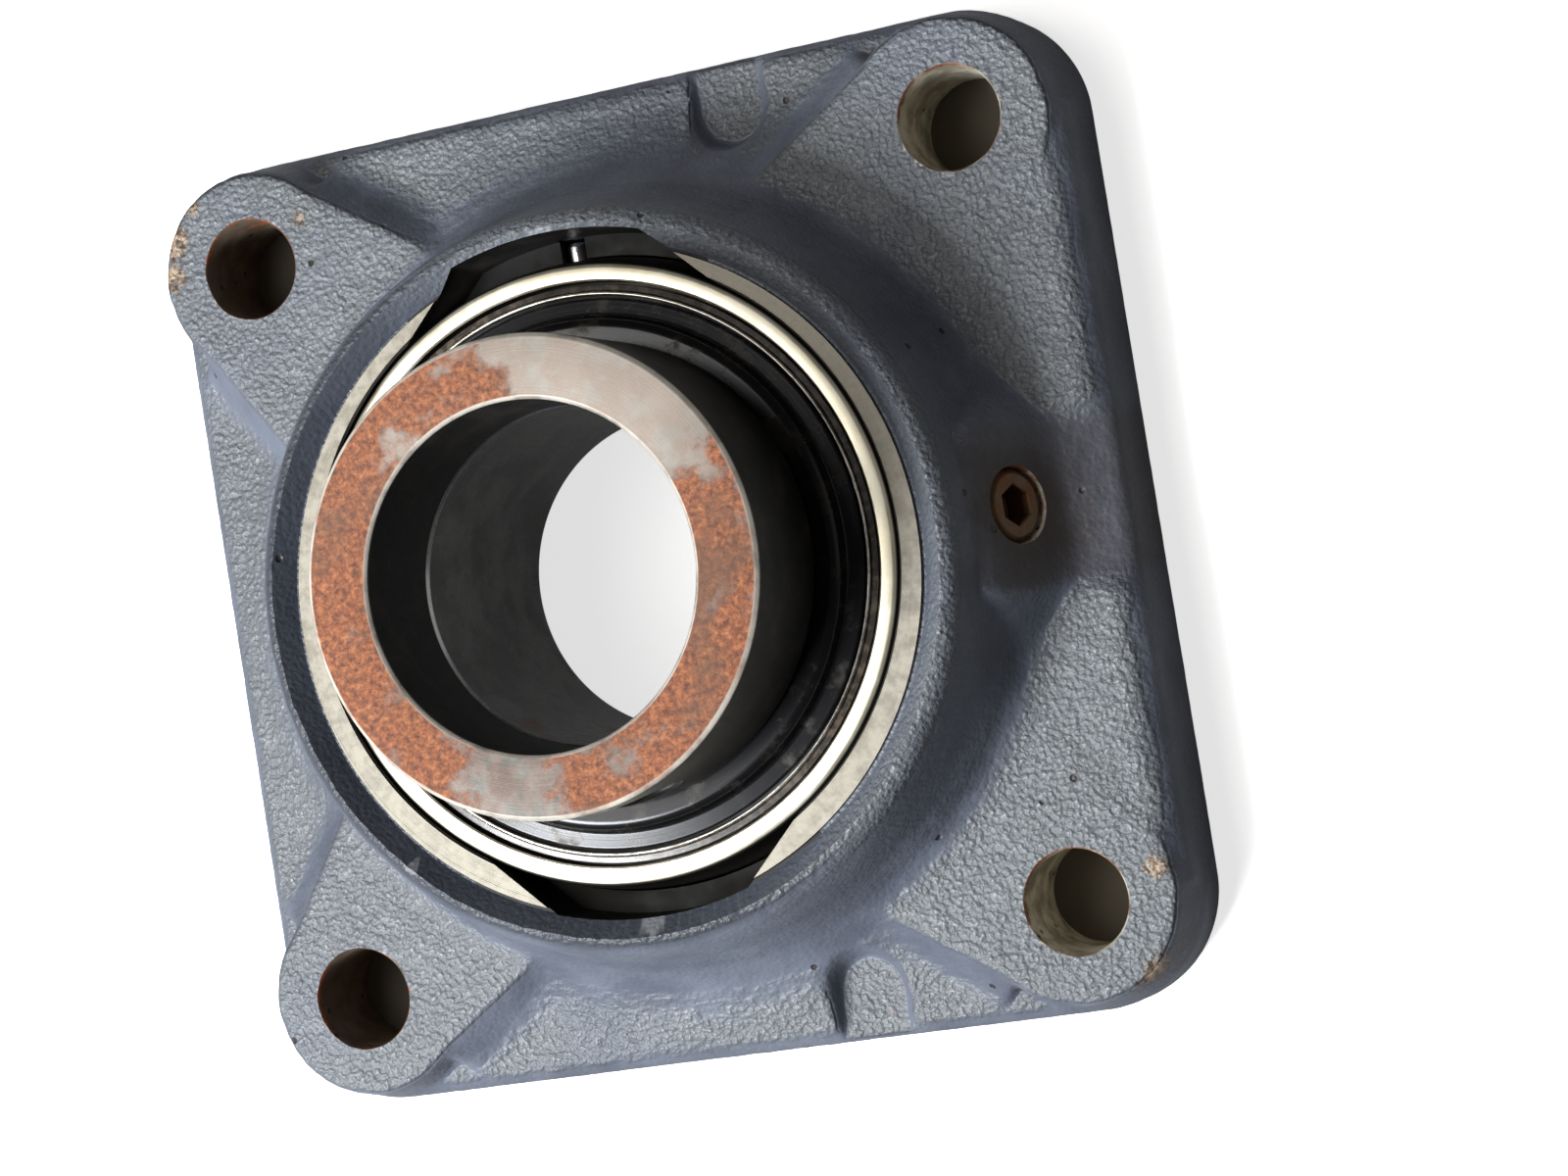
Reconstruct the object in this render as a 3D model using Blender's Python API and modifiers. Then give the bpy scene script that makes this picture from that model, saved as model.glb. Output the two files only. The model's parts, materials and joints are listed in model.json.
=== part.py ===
"""Four-bolt flange bearing: square cast housing, self-aligning ball bearing, locking collar.

Frame: metres, +Z out of the front of the bearing, origin on the bore axis in the plane of
the mounting face, +X toward the grease plug, +Y toward the slot that holds the
anti-rotation pin. Every size below is in millimetres and is turned into metres by the
helpers.
"""
import math

import bmesh
import bpy
from mathutils import Matrix, Vector

MM = 0.001

# Driving sizes of the bearing
BORE_D = 44.45          # 1-3/4 in shaft
BALL_D = 12.7           # 1/2 in balls
BALL_COUNT = 9
INNER_WALL = 3.675      # bore to the bottom of the inner raceway
OUTER_WALL = 3.4        # bottom of the outer raceway to the spherical outside
RACE_GAP = 0.25         # ball to raceway, all round
LAND_OFFSET = 4.1       # ring shoulders, measured from the ball circle
NOSE_WALL = 4.975       # wall of the inner ring outside the seals
REAR_NOSE = 8.7         # inner ring behind the rear thrower
REAR_STANDOFF = 0.6     # inner ring to the mounting face plane
FIT_GAP = 0.3           # between pieces that touch on the real bearing
OIL_HOLE_D = 2.6        # grease hole through the outer ring

# Seals, from the cage outwards
CAGE_SHEET = 1.0
CAGE_CLEARANCE = 0.25
CAGE_HALF_WIDTH = 2.3
RIVET_R = 0.9
RIVET_HEAD_R = 1.7
RIVET_HEAD_HEIGHT = 0.7
SEAL_GAP = 0.7
SEAL_SHEET = 1.0
SEAL_SEAT_STEP = 2.1    # outer ring's seal seat beyond its land
SEAL_LIP_WIDTH = 1.9
SEAL_LIP_DROOP = 0.5
SHIELD_HEIGHT = 1.4
SHIELD_WIDTH = 1.6
SHIELD_BEVEL = 0.9
SHIELD_SUNK = 0.3       # shield below the outer ring's face
THROWER_SHEET = 0.7
THROWER_KNEE = 1.2      # outer edge of the thrower's raised part, beyond the ball circle
THROWER_FLARE = 0.5
THROWER_STEP = 2.4      # how far the inner part of the thrower stands proud

# Locking collar
CAM_WALL = 3.475        # mean wall of the eccentric end of the inner ring
CAM_OFFSET = 1.4
CAM_LENGTH = 3.7
CAM_CLEARANCE = 0.5
COLLAR_WALL = 3.1       # thinnest wall of the collar over the cam
COLLAR_WIDTH = 22.0
COLLAR_BORE_GAP = 0.1
COLLAR_CHAMFER = 0.6
COLLAR_LEAD = 0.3       # chamfer at the mouth of the collar's bore
RECESS_FLOOR_GAP = 0.4  # cam end to the bottom of the collar's recess
SET_SCREW_D = 8.0
SET_SCREW_HEX = 4.0
SET_SCREW_SOCKET = 4.0  # depth of the key socket
SET_SCREW_POINT = 1.4   # cone at the cup point
SET_SCREW_BACKED = 0.7  # point of the screw outside the bore
SET_SCREW_SUNK = 0.6    # head of the screw inside the collar's rim
SET_SCREW_ANGLE = -75.0
SET_SCREW_DEPTH = 10.0  # below the collar's front face
DRIFT_HOLE_D = 6.0
DRIFT_HOLE_DEPTH = 4.0
DRIFT_HOLE_ANGLE = 105.0

# Housing
BOLT_SPACING = 104.8    # 4-1/8 in
BOLT_HOLE_D = 14.0
EDGE_MARGIN = 16.1      # bolt centre to flange edge
CORNER_R = 16.5
WALL_DRAFT = 0.6        # lean of the flange walls up to the pad tops
PAD_HEIGHT = 16.0
PAD_TOP_R = 14.6
PAD_FOOT_R = 16.0
PAD_ROUND = 1.1
WEB_DROP = 0.1          # web top below the pad top
WEB_HALF_WIDTH = 19.0   # half width of a corner web where it meets the hub
EDGE_HEIGHT = 9.0       # flange thickness at the middle of a side
HUB_SKIRT = 3.3         # fillet at the foot of the hub: outwards
HUB_SKIRT_RISE = 2.9    # and up from the flange
FACE_PROUD = 0.2        # machined face above the outer ring's face
FACE_MARGIN = 1.7       # machined face beyond the spherical seat
CAST_SHIFT = -0.8       # cast rim off the bored seat, along Y
SEAT_GAP = 0.3
REAR_BORE_WALL = 1.0    # rear bore beyond the spherical seat
SLOT_FLOOR = 2.0        # loading slot floor above the ball plane
SLOT_CLEARANCE = 3.2    # loading slot wall outside the spherical ring
SLOT_INNER_HALF = 16.2
SLOT_OUTER_HALF = 13.6
NOTCH_X = 20.4
NOTCH_R = 4.7
NOTCH_FLOOR = 8.0
NOTCH_SETBACK = 3.2     # flange left between the hub and a notch
RAMP_HALF_WIDTH = 11.0
RAMP_EDGE_HEIGHT = 12.6
RAMP_TOP_OUT = 9.4      # top edge of the ramp beyond the spherical ring
RAMP_TOP_RISE = 13.0    # top edge of the ramp above the pads
# Cast rim from the machined face outwards: beyond the spherical ring, above the face
RIM_SHAPE = [(2.0, 0.8), (4.4, 1.8), (5.8, 2.1), (7.2, 1.3), (8.1, -0.6)]
# Hub side from the rim down to its foot: beyond the spherical ring, above the pads
HUB_SHAPE = [(8.9, 12.5), (10.1, 7.0), (12.1, 1.8), (14.7, -1.8)]

# Anti-rotation pin
PIN_D = 3.0
PIN_SUNK = 2.4          # length inside the outer ring
PIN_PROUD = 2.8         # length outside the outer ring
PIN_TRAVEL = 1.9        # groove floor below the pin, for tilting
PIN_END_GAP = 0.6

# Grease plug
PLUG_D = 9.7
PLUG_LENGTH = 7.0
PLUG_HEX = 4.76         # 3/16 in key
PLUG_RISE = 28.0        # degrees above the flange plane
PLUG_SOCKET = 4.0       # depth of the key socket
PLUG_SUNK = 0.6         # head of the plug below the ramp
PLUG_END_GAP = 0.8
PLUG_DOWN_RAMP = 7.2    # plug centre from the top of the ramp, along the ramp
RAMP_LENGTH = 14.0
GREASE_PASSAGE_D = 3.6
GREASE_GROOVE_WIDTH = 3.0
GREASE_GROOVE_DEPTH = 1.2

SEGMENTS = 40           # of every large turned piece
FINE_SEGMENTS = 20      # of screws and their holes
PAD_SEGMENTS = 28       # of bolt pads and bolt holes
HOLE_TURN = 0.04        # radians, between the facets of a hole and of its pad
PIN_SEGMENTS = 16
SMALL_SEGMENTS = 10     # of rivets and oil holes
RACE_STEPS = 6          # across a raceway, and over each ball of the cage
SPHERE_STEPS = 8        # across the spherical outside of the outer ring
CHAMFER = 0.5
OVERCUT = 2.0           # cutters run past what they cut
REACH = 20.0            # and past the front of the casting

# Sizes worked out from the ones above
BORE_R = BORE_D / 2
BALL_R = BALL_D / 2
RACE_R = BALL_R + RACE_GAP
PITCH_R = BORE_R + INNER_WALL + RACE_R
SPHERE_R = PITCH_R + RACE_R + OUTER_WALL
INNER_LAND_R = PITCH_R - LAND_OFFSET
OUTER_LAND_R = PITCH_R + LAND_OFFSET
NOSE_R = BORE_R + NOSE_WALL
CAGE_TOP = BALL_R + CAGE_CLEARANCE + CAGE_SHEET
SEAL_Z = CAGE_TOP + SEAL_GAP
SHIELD_Z = SEAL_Z + SEAL_SHEET + FIT_GAP
RING_HALF = SHIELD_Z + SHIELD_HEIGHT
SEAL_SEAT_R = OUTER_LAND_R + SEAL_SEAT_STEP
THROWER_Z = SHIELD_Z
THROWER_TOP = THROWER_Z + THROWER_STEP + THROWER_SHEET
REAR_END = THROWER_TOP + REAR_NOSE
CENTRE_Z = REAR_END + REAR_STANDOFF
COLLAR_FOOT = THROWER_TOP + FIT_GAP
COLLAR_TOP = COLLAR_FOOT + COLLAR_WIDTH
FRONT_END = COLLAR_FOOT + CAM_LENGTH
CAM_R = BORE_R + CAM_WALL
CAM_BORE_R = CAM_R + CAM_CLEARANCE
COLLAR_R = CAM_BORE_R + CAM_OFFSET + COLLAR_WALL
COLLAR_BORE_R = BORE_R + COLLAR_BORE_GAP
SEAT_R = SPHERE_R + SEAT_GAP
FACE_Z = RING_HALF + FACE_PROUD
FACE_R = SPHERE_R + FACE_MARGIN
REAR_BORE_R = SEAT_R + REAR_BORE_WALL
HUB_FOOT_R = SPHERE_R + HUB_SHAPE[-1][0]
SLOT_R = SPHERE_R + SLOT_CLEARANCE
HALF_SPACING = BOLT_SPACING / 2
HALF_SIDE = HALF_SPACING + EDGE_MARGIN

for old in list(bpy.data.objects):
    bpy.data.objects.remove(old, do_unlink=True)

PARTS = bpy.data.collections.new("flange_mount_bearing")
CUTTERS = bpy.data.collections.new("cutters")
bpy.context.scene.collection.children.link(PARTS)
bpy.context.scene.collection.children.link(CUTTERS)


def material(name, colour, roughness, metallic):
    """A Principled material of one colour."""
    made = bpy.data.materials.new(name)
    made.use_nodes = True
    shader = made.node_tree.nodes["Principled BSDF"]
    shader.inputs["Base Color"].default_value = (*colour, 1.0)
    shader.inputs["Roughness"].default_value = roughness
    shader.inputs["Metallic"].default_value = metallic
    return made


CAST_PAINT = material("painted_casting", (0.16, 0.17, 0.20), 0.55, 0.1)
BRIGHT_STEEL = material("bright_steel", (0.80, 0.78, 0.72), 0.25, 1.0)
BALL_STEEL = material("ball_steel", (0.75, 0.76, 0.78), 0.12, 1.0)
BORE_STEEL = material("bore_steel", (0.35, 0.35, 0.36), 0.35, 1.0)
RUSTY_STEEL = material("rusty_collar", (0.50, 0.26, 0.15), 0.7, 0.3)
BLACK_STEEL = material("black_steel", (0.02, 0.02, 0.02), 0.3, 0.6)
SHIELD_STEEL = material("shield_steel", (0.30, 0.28, 0.25), 0.4, 0.9)
SEAL_RUBBER = material("seal_rubber", (0.02, 0.02, 0.02), 0.7, 0.0)
CAGE_STEEL = material("cage_steel", (0.55, 0.53, 0.50), 0.4, 1.0)
PLUG_STEEL = material("plug_steel", (0.28, 0.18, 0.10), 0.6, 0.5)


def add_object(name, mesh, finish=None):
    """Link a mesh as a part when it has a finish, or else as a hidden cutter."""
    made = bpy.data.objects.new(name, mesh)
    if finish is None:
        CUTTERS.objects.link(made)
        made.hide_render = True
        made.display_type = "WIRE"
    else:
        PARTS.objects.link(made)
        mesh.materials.append(finish)
    return made


def place(piece, centre=(0.0, 0.0, 0.0), turn=None):
    """Put a piece at a point given in millimetres, turned by a rotation matrix."""
    matrix = Matrix.Translation(Vector(centre) * MM)
    if turn is not None:
        matrix = matrix @ turn.to_4x4()
    piece.matrix_world = matrix
    return piece


def turned(name, profile, finish=None, closed=True, segments=SEGMENTS):
    """Turn a profile of (radius, height) points about Z; its outer side runs downwards."""
    mesh = bpy.data.meshes.new(name)
    points = [(radius * MM, 0.0, height * MM) for radius, height in profile]
    edges = [(i, i + 1) for i in range(len(points) - 1)]
    if closed:
        edges.append((len(points) - 1, 0))
    mesh.from_pydata(points, edges, [])
    made = add_object(name, mesh, finish)
    screw = made.modifiers.new("turn", "SCREW")
    screw.axis = "Z"
    screw.angle = math.tau
    screw.steps = segments
    screw.render_steps = segments
    screw.use_merge_vertices = True
    screw.merge_threshold = 0.00001
    return made


def cylinder(name, radius, low, high, finish=None, segments=FINE_SEGMENTS, top_radius=None):
    """A cylinder or cone frustum on the Z axis between two heights."""
    mesh = bpy.data.meshes.new(name)
    shape = bmesh.new()
    bmesh.ops.create_cone(
        shape, cap_ends=True, segments=segments, radius1=radius * MM,
        radius2=(radius if top_radius is None else top_radius) * MM, depth=(high - low) * MM)
    bmesh.ops.translate(shape, verts=shape.verts, vec=(0, 0, (high + low) / 2 * MM))
    shape.to_mesh(mesh)
    shape.free()
    return add_object(name, mesh, finish)


def outline_plate(name, points, half_thickness, finish=None):
    """Extrude a flat outline of (x, y) points both ways along Z."""
    curve = bpy.data.curves.new(name, "CURVE")
    curve.dimensions = "2D"
    curve.fill_mode = "BOTH"
    curve.extrude = half_thickness * MM
    spline = curve.splines.new("POLY")
    spline.points.add(len(points) - 1)
    for target, (x, y) in zip(spline.points, points):
        target.co = (x * MM, y * MM, 0.0, 1.0)
    spline.use_cyclic_u = True
    holder = bpy.data.objects.new(name + "_outline", curve)
    CUTTERS.objects.link(holder)
    graph = bpy.context.evaluated_depsgraph_get()
    mesh = bpy.data.meshes.new_from_object(holder.evaluated_get(graph))
    bpy.data.objects.remove(holder, do_unlink=True)
    bpy.data.curves.remove(curve)
    shape = bmesh.new()
    shape.from_mesh(mesh)
    bmesh.ops.remove_doubles(shape, verts=shape.verts, dist=0.000001)
    bmesh.ops.recalc_face_normals(shape, faces=shape.faces)
    shape.to_mesh(mesh)
    shape.free()
    mesh.name = name
    return add_object(name, mesh, finish)


def combine(piece, others, operation):
    """Cut, join or intersect a piece with other solids, in order."""
    for other in others:
        step = piece.modifiers.new(operation.lower() + "_" + other.name, "BOOLEAN")
        step.operation = operation
        step.solver = "EXACT"
        step.object = other
    return piece


def chamfered(radius, low, high, chamfer=CHAMFER):
    """Outer side of a turned profile with a chamfer at both ends, top to bottom."""
    return [(radius - chamfer, high), (radius, high - chamfer),
            (radius, low + chamfer), (radius - chamfer, low)]


def arc(centre_r, centre_z, radius, start, stop, steps):
    """Points on an arc in the (radius, height) plane, angles in degrees from +radius."""
    span = math.radians(stop - start)
    angles = [math.radians(start) + span * i / steps for i in range(steps + 1)]
    return [(centre_r + radius * math.cos(a), centre_z + radius * math.sin(a)) for a in angles]


def mirrored(profile):
    """The same profile on the other side of the ball plane, still running downwards."""
    return [(radius, -height) for radius, height in reversed(profile)]


# ---- Housing -----------------------------------------------------------------------------

def flange_block():
    """Rounded square prism with drafted walls, taller than the hub."""
    height = CENTRE_Z + FACE_Z + REACH
    shape = bmesh.new()
    bmesh.ops.create_cube(shape, size=1.0)
    bmesh.ops.scale(shape, vec=(2 * HALF_SIDE * MM, 2 * HALF_SIDE * MM, height * MM),
                    verts=shape.verts)
    bmesh.ops.translate(shape, vec=(0, 0, height / 2 * MM), verts=shape.verts)
    upright = [e for e in shape.edges if abs(e.verts[0].co.z - e.verts[1].co.z) > 0.5 * height * MM]
    bmesh.ops.bevel(shape, geom=upright, offset=CORNER_R * MM, segments=8, profile=0.5,
                    affect="EDGES")
    lean = 1.0 - WALL_DRAFT * height / PAD_HEIGHT / HALF_SIDE
    for vertex in shape.verts:
        if vertex.co.z > 0.5 * height * MM:
            vertex.co.x *= lean
            vertex.co.y *= lean
    mesh = bpy.data.meshes.new("flange_block")
    shape.to_mesh(mesh)
    shape.free()
    return add_object("flange_block", mesh)


def cast_profile():
    """Outside of the casting from the axis over the rim and down the hub to the flange."""
    face = CENTRE_Z + FACE_Z
    rim = [(SPHERE_R + out, face + up) for out, up in RIM_SHAPE]
    hub = [(SPHERE_R + out, PAD_HEIGHT + up) for out, up in HUB_SHAPE]
    skirt = [(HUB_FOOT_R + HUB_SKIRT, EDGE_HEIGHT + HUB_SKIRT_RISE), (HALF_SIDE, EDGE_HEIGHT)]
    under = [(2 * HALF_SIDE, EDGE_HEIGHT), (2 * HALF_SIDE, -2 * OVERCUT), (0.0, -2 * OVERCUT)]
    return [(0.0, rim[0][1])] + rim + hub + skirt + under


def bore_profile():
    """Machined inside: flat ring face, spherical seat with its grease groove, rear bore."""
    face_angle = math.degrees(math.asin(FACE_Z / SEAT_R))
    groove = GREASE_GROOVE_WIDTH / 2
    low, high = GREASE_Z - groove, GREASE_Z + groove
    groove_r = SPHERE_R + GREASE_GROOVE_DEPTH
    high_angle = math.degrees(math.asin(high / SEAT_R))
    low_angle = math.degrees(math.asin(low / SEAT_R))
    seat_mouth = SEAT_R * math.cos(math.radians(face_angle))
    front = [(0.0, FACE_Z + REACH), (FACE_R, FACE_Z + REACH), (FACE_R, FACE_Z),
             (seat_mouth + CHAMFER, FACE_Z)]
    upper = arc(0.0, 0.0, SEAT_R, face_angle - 1.0, high_angle, 5)
    lower = arc(0.0, 0.0, SEAT_R, low_angle, -face_angle, 2)
    rear = [(REAR_BORE_R, -FACE_Z), (REAR_BORE_R, -CENTRE_Z - OVERCUT), (0.0, -CENTRE_Z - OVERCUT)]
    return front + upper + [(groove_r, high), (groove_r, low)] + lower + rear


def corner_solid(index):
    """Bolt pad with its web toward the hub, in one corner of the flange."""
    angle = math.radians(45 + 90 * index)
    distance = HALF_SPACING * math.sqrt(2)
    pad = turned("pad_%d" % index, [
        (0.0, PAD_HEIGHT), (PAD_TOP_R - PAD_ROUND, PAD_HEIGHT),
        (PAD_TOP_R - PAD_ROUND * 0.3, PAD_HEIGHT - PAD_ROUND * 0.3),
        (PAD_TOP_R, PAD_HEIGHT - PAD_ROUND), (PAD_FOOT_R, -OVERCUT), (0.0, -OVERCUT)],
        closed=False, segments=PAD_SEGMENTS)
    place(pad, (distance * math.cos(angle), distance * math.sin(angle), 0.0))
    inner = SPHERE_R + RIM_SHAPE[-1][0] - OVERCUT
    web_end = PAD_TOP_R - PAD_ROUND
    web = outline_plate("web_%d" % index, [
        (inner, -WEB_HALF_WIDTH), (distance - PAD_ROUND, -web_end),
        (distance - PAD_ROUND, web_end), (inner, WEB_HALF_WIDTH)], PAD_HEIGHT / 2)
    place(web, (0.0, 0.0, PAD_HEIGHT / 2 - WEB_DROP), Matrix.Rotation(angle, 3, "Z"))
    return [pad, web]


def plug_ramp():
    """Smooth block from the hub to the +X flange edge that carries the grease plug."""
    top = ramp_point(0.0)
    foot = ramp_point(RAMP_LENGTH)
    root = SPHERE_R + RIM_SHAPE[1][0]
    far = HALF_SIDE + OVERCUT
    fall = (foot[1] - RAMP_EDGE_HEIGHT) / (HALF_SIDE - foot[0])
    outline = [(root, CHAMFER), (far, CHAMFER), (far, foot[1] - fall * (far - foot[0])),
               foot, top, (root, top[1])]
    ramp = outline_plate("plug_ramp", outline, RAMP_HALF_WIDTH)
    return place(ramp, turn=Matrix.Rotation(math.pi / 2, 3, "X"))


def ramp_point(along):
    """A point (x, z) on the steep face of the plug ramp, measured down from its top."""
    rise = math.radians(PLUG_RISE)
    return (SPHERE_R + RAMP_TOP_OUT + along * math.sin(rise),
            PAD_HEIGHT + RAMP_TOP_RISE - along * math.cos(rise))


PLUG_AXIS = Vector((math.cos(math.radians(PLUG_RISE)), 0.0, math.sin(math.radians(PLUG_RISE))))
PLUG_TURN = PLUG_AXIS.to_track_quat("Z", "Y").to_matrix()
PLUG_MOUTH = (ramp_point(PLUG_DOWN_RAMP)[0], 0.0, ramp_point(PLUG_DOWN_RAMP)[1])
# Height above the ball plane where the grease passage meets the seat
GREASE_Z = PLUG_MOUTH[2] - CENTRE_Z - (PLUG_MOUTH[0] - SPHERE_R) * math.tan(math.radians(PLUG_RISE))


def plug_hole():
    """Tapped hole, its chamfer and the thin passage on to the seat, down the plug axis."""
    hole_r = PLUG_D / 2 + FIT_GAP
    depth = PLUG_SUNK + PLUG_LENGTH + PLUG_END_GAP
    reach = (PLUG_MOUTH[0] - SPHERE_R) / PLUG_AXIS.x + OVERCUT
    hole = turned("plug_hole", [
        (0.0, OVERCUT), (hole_r + OVERCUT + CHAMFER, OVERCUT), (hole_r, -CHAMFER), (hole_r, -depth),
        (GREASE_PASSAGE_D / 2, -depth), (GREASE_PASSAGE_D / 2, -reach), (0.0, -reach)],
        closed=False, segments=FINE_SEGMENTS)
    return place(hole, PLUG_MOUTH, PLUG_TURN)


def loading_slot(side):
    """Slot through the rim that lets the spherical ring in edgeways; side is +1 or -1."""
    height = FACE_Z + REACH - SLOT_FLOOR
    inner_y = SPHERE_R - 4 * OVERCUT
    taper = (SLOT_INNER_HALF - SLOT_OUTER_HALF) / (SLOT_R - SPHERE_R)
    inner_half = SLOT_INNER_HALF + taper * (SPHERE_R - inner_y)
    outer_half = SLOT_OUTER_HALF - taper * OVERCUT
    slot = outline_plate("loading_slot_%+d" % side, [
        (-inner_half, side * inner_y), (inner_half, side * inner_y),
        (outer_half, side * (SLOT_R + OVERCUT)), (-outer_half, side * (SLOT_R + OVERCUT))],
        height / 2)
    place(slot, (0.0, 0.0, CENTRE_Z + SLOT_FLOOR + height / 2))
    limit = cylinder("slot_limit_%+d" % side, SLOT_R, CENTRE_Z, CENTRE_Z + FACE_Z + 2 * REACH,
                     segments=SEGMENTS)
    return combine(slot, [limit], "INTERSECT")


def pin_groove():
    """Narrow axial groove under the +Y slot that guides the anti-rotation pin."""
    half_width = PIN_D / 2 + FIT_GAP
    low = CENTRE_Z - PIN_D / 2 - PIN_TRAVEL
    high = CENTRE_Z + SLOT_FLOOR + CHAMFER
    near, far = SPHERE_R - OVERCUT, SPHERE_R + PIN_PROUD + PIN_END_GAP
    groove = outline_plate("pin_groove", [
        (-half_width, near), (half_width, near), (half_width, far), (-half_width, far)],
        (high - low) / 2)
    return place(groove, (0.0, 0.0, (high + low) / 2))


def edge_notch(side):
    """Flat U-shaped recess in the flange face, open at the +Y or -Y edge."""
    centre_y = math.sqrt(HUB_FOOT_R ** 2 - NOTCH_X ** 2) + NOTCH_SETBACK + NOTCH_R
    bend = [(NOTCH_X + NOTCH_R * math.cos(a), side * (centre_y - NOTCH_R * math.sin(a)))
            for a in (math.pi * i / SMALL_SEGMENTS for i in range(SMALL_SEGMENTS + 1))]
    far_y = side * (max(HALF_SIDE, centre_y) + OVERCUT)
    half_height = (PAD_HEIGHT - NOTCH_FLOOR) / 2
    notch = outline_plate("edge_notch_%+d" % side, bend + [
        (NOTCH_X - NOTCH_R, far_y), (NOTCH_X + NOTCH_R, far_y)], half_height)
    return place(notch, (0.0, 0.0, NOTCH_FLOOR + half_height))


def bolt_hole(index):
    """Plain clearance hole through a pad, its facets off the line of the pad's facets."""
    angle = math.radians(45 + 90 * index)
    distance = HALF_SPACING * math.sqrt(2)
    hole = cylinder("bolt_hole_%d" % index, BOLT_HOLE_D / 2, -OVERCUT, PAD_HEIGHT + REACH,
                    segments=PAD_SEGMENTS)
    centre = (distance * math.cos(angle), distance * math.sin(angle), 0.0)
    return place(hole, centre, Matrix.Rotation(angle + HOLE_TURN, 3, "Z"))


def build_housing():
    """One iron casting, painted outside, bored and faced."""
    housing = turned("housing", cast_profile(), CAST_PAINT, closed=False)
    place(housing, (0.0, CAST_SHIFT, 0.0))
    combine(housing, [corner for i in range(4) for corner in corner_solid(i)], "UNION")
    combine(housing, [plug_ramp()], "UNION")
    combine(housing, [flange_block()], "INTERSECT")
    bore = place(turned("bore_cut", bore_profile(), closed=False), (0.0, 0.0, CENTRE_Z))
    cuts = [bore, loading_slot(1), loading_slot(-1), pin_groove(), edge_notch(1), edge_notch(-1)]
    cuts += [bolt_hole(i) for i in range(4)] + [plug_hole()]
    combine(housing, cuts, "DIFFERENCE")


def hex_cutter(name, across_flats, depth, top):
    """Six-sided socket cutter from a height down, open upwards."""
    radius = across_flats / 2 / math.cos(math.pi / 6)
    return cylinder(name, radius, top - depth, top + OVERCUT, segments=6)


def build_grease_plug():
    """Headless taper plug with a key socket, sunk just below the ramp."""
    plug = turned("grease_plug", [(0.0, 0.0)] + chamfered(PLUG_D / 2, -PLUG_LENGTH, 0.0)
                  + [(0.0, -PLUG_LENGTH)], PLUG_STEEL, closed=False, segments=FINE_SEGMENTS)
    mouth = Vector(PLUG_MOUTH) - PLUG_AXIS * PLUG_SUNK
    place(plug, mouth, PLUG_TURN)
    socket = place(hex_cutter("plug_socket", PLUG_HEX, PLUG_SOCKET, 0.0), mouth, PLUG_TURN)
    combine(plug, [socket], "DIFFERENCE")


# ---- Bearing, in heights measured from the ball plane -------------------------------------

def build_outer_ring():
    """Hardened ring with a spherical outside, one deep raceway and two seal seats."""
    land = math.degrees(math.asin(LAND_OFFSET / RACE_R))
    corner = math.degrees(math.asin((RING_HALF - CHAMFER) / SPHERE_R))
    seat_z = SEAL_Z - FIT_GAP
    face_r = math.sqrt(SPHERE_R ** 2 - RING_HALF ** 2) - CHAMFER
    outside = [(face_r, RING_HALF)] + arc(0.0, 0.0, SPHERE_R, corner, -corner, SPHERE_STEPS)
    outside += [(face_r, -RING_HALF)]
    inside = [(SEAL_SEAT_R, -RING_HALF), (SEAL_SEAT_R, -seat_z), (OUTER_LAND_R, -seat_z)]
    raceway = arc(PITCH_R, 0.0, RACE_R, -90 + land, 90 - land, RACE_STEPS)
    ring = turned("outer_ring", outside + inside + raceway + [
        (OUTER_LAND_R, seat_z), (SEAL_SEAT_R, seat_z), (SEAL_SEAT_R, RING_HALF)], BRIGHT_STEEL)
    place(ring, (0.0, 0.0, CENTRE_Z))
    pin_hole = cylinder("pin_hole", PIN_D / 2 + FIT_GAP, SPHERE_R - PIN_SUNK - FIT_GAP,
                        SPHERE_R + OVERCUT, segments=FINE_SEGMENTS)
    place(pin_hole, (0.0, 0.0, CENTRE_Z), Matrix.Rotation(-math.pi / 2, 3, "X"))
    oil_hole = cylinder("oil_hole", OIL_HOLE_D / 2, OUTER_LAND_R - OVERCUT, SPHERE_R + OVERCUT,
                        segments=SMALL_SEGMENTS)
    place(oil_hole, (0.0, 0.0, CENTRE_Z + GREASE_Z), Matrix.Rotation(math.pi / 2, 3, "Y"))
    combine(ring, [pin_hole, oil_hole], "DIFFERENCE")


def build_pin():
    """Short dowel pressed into the outer ring; its axis passes through the bearing centre."""
    low, high = SPHERE_R - PIN_SUNK, SPHERE_R + PIN_PROUD
    pin = turned("anti_rotation_pin", [(0.0, high)] + chamfered(PIN_D / 2, low, high, PIN_D / 10)
                 + [(0.0, low)], BRIGHT_STEEL, closed=False, segments=PIN_SEGMENTS)
    place(pin, (0.0, 0.0, CENTRE_Z), Matrix.Rotation(-math.pi / 2, 3, "X"))


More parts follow.
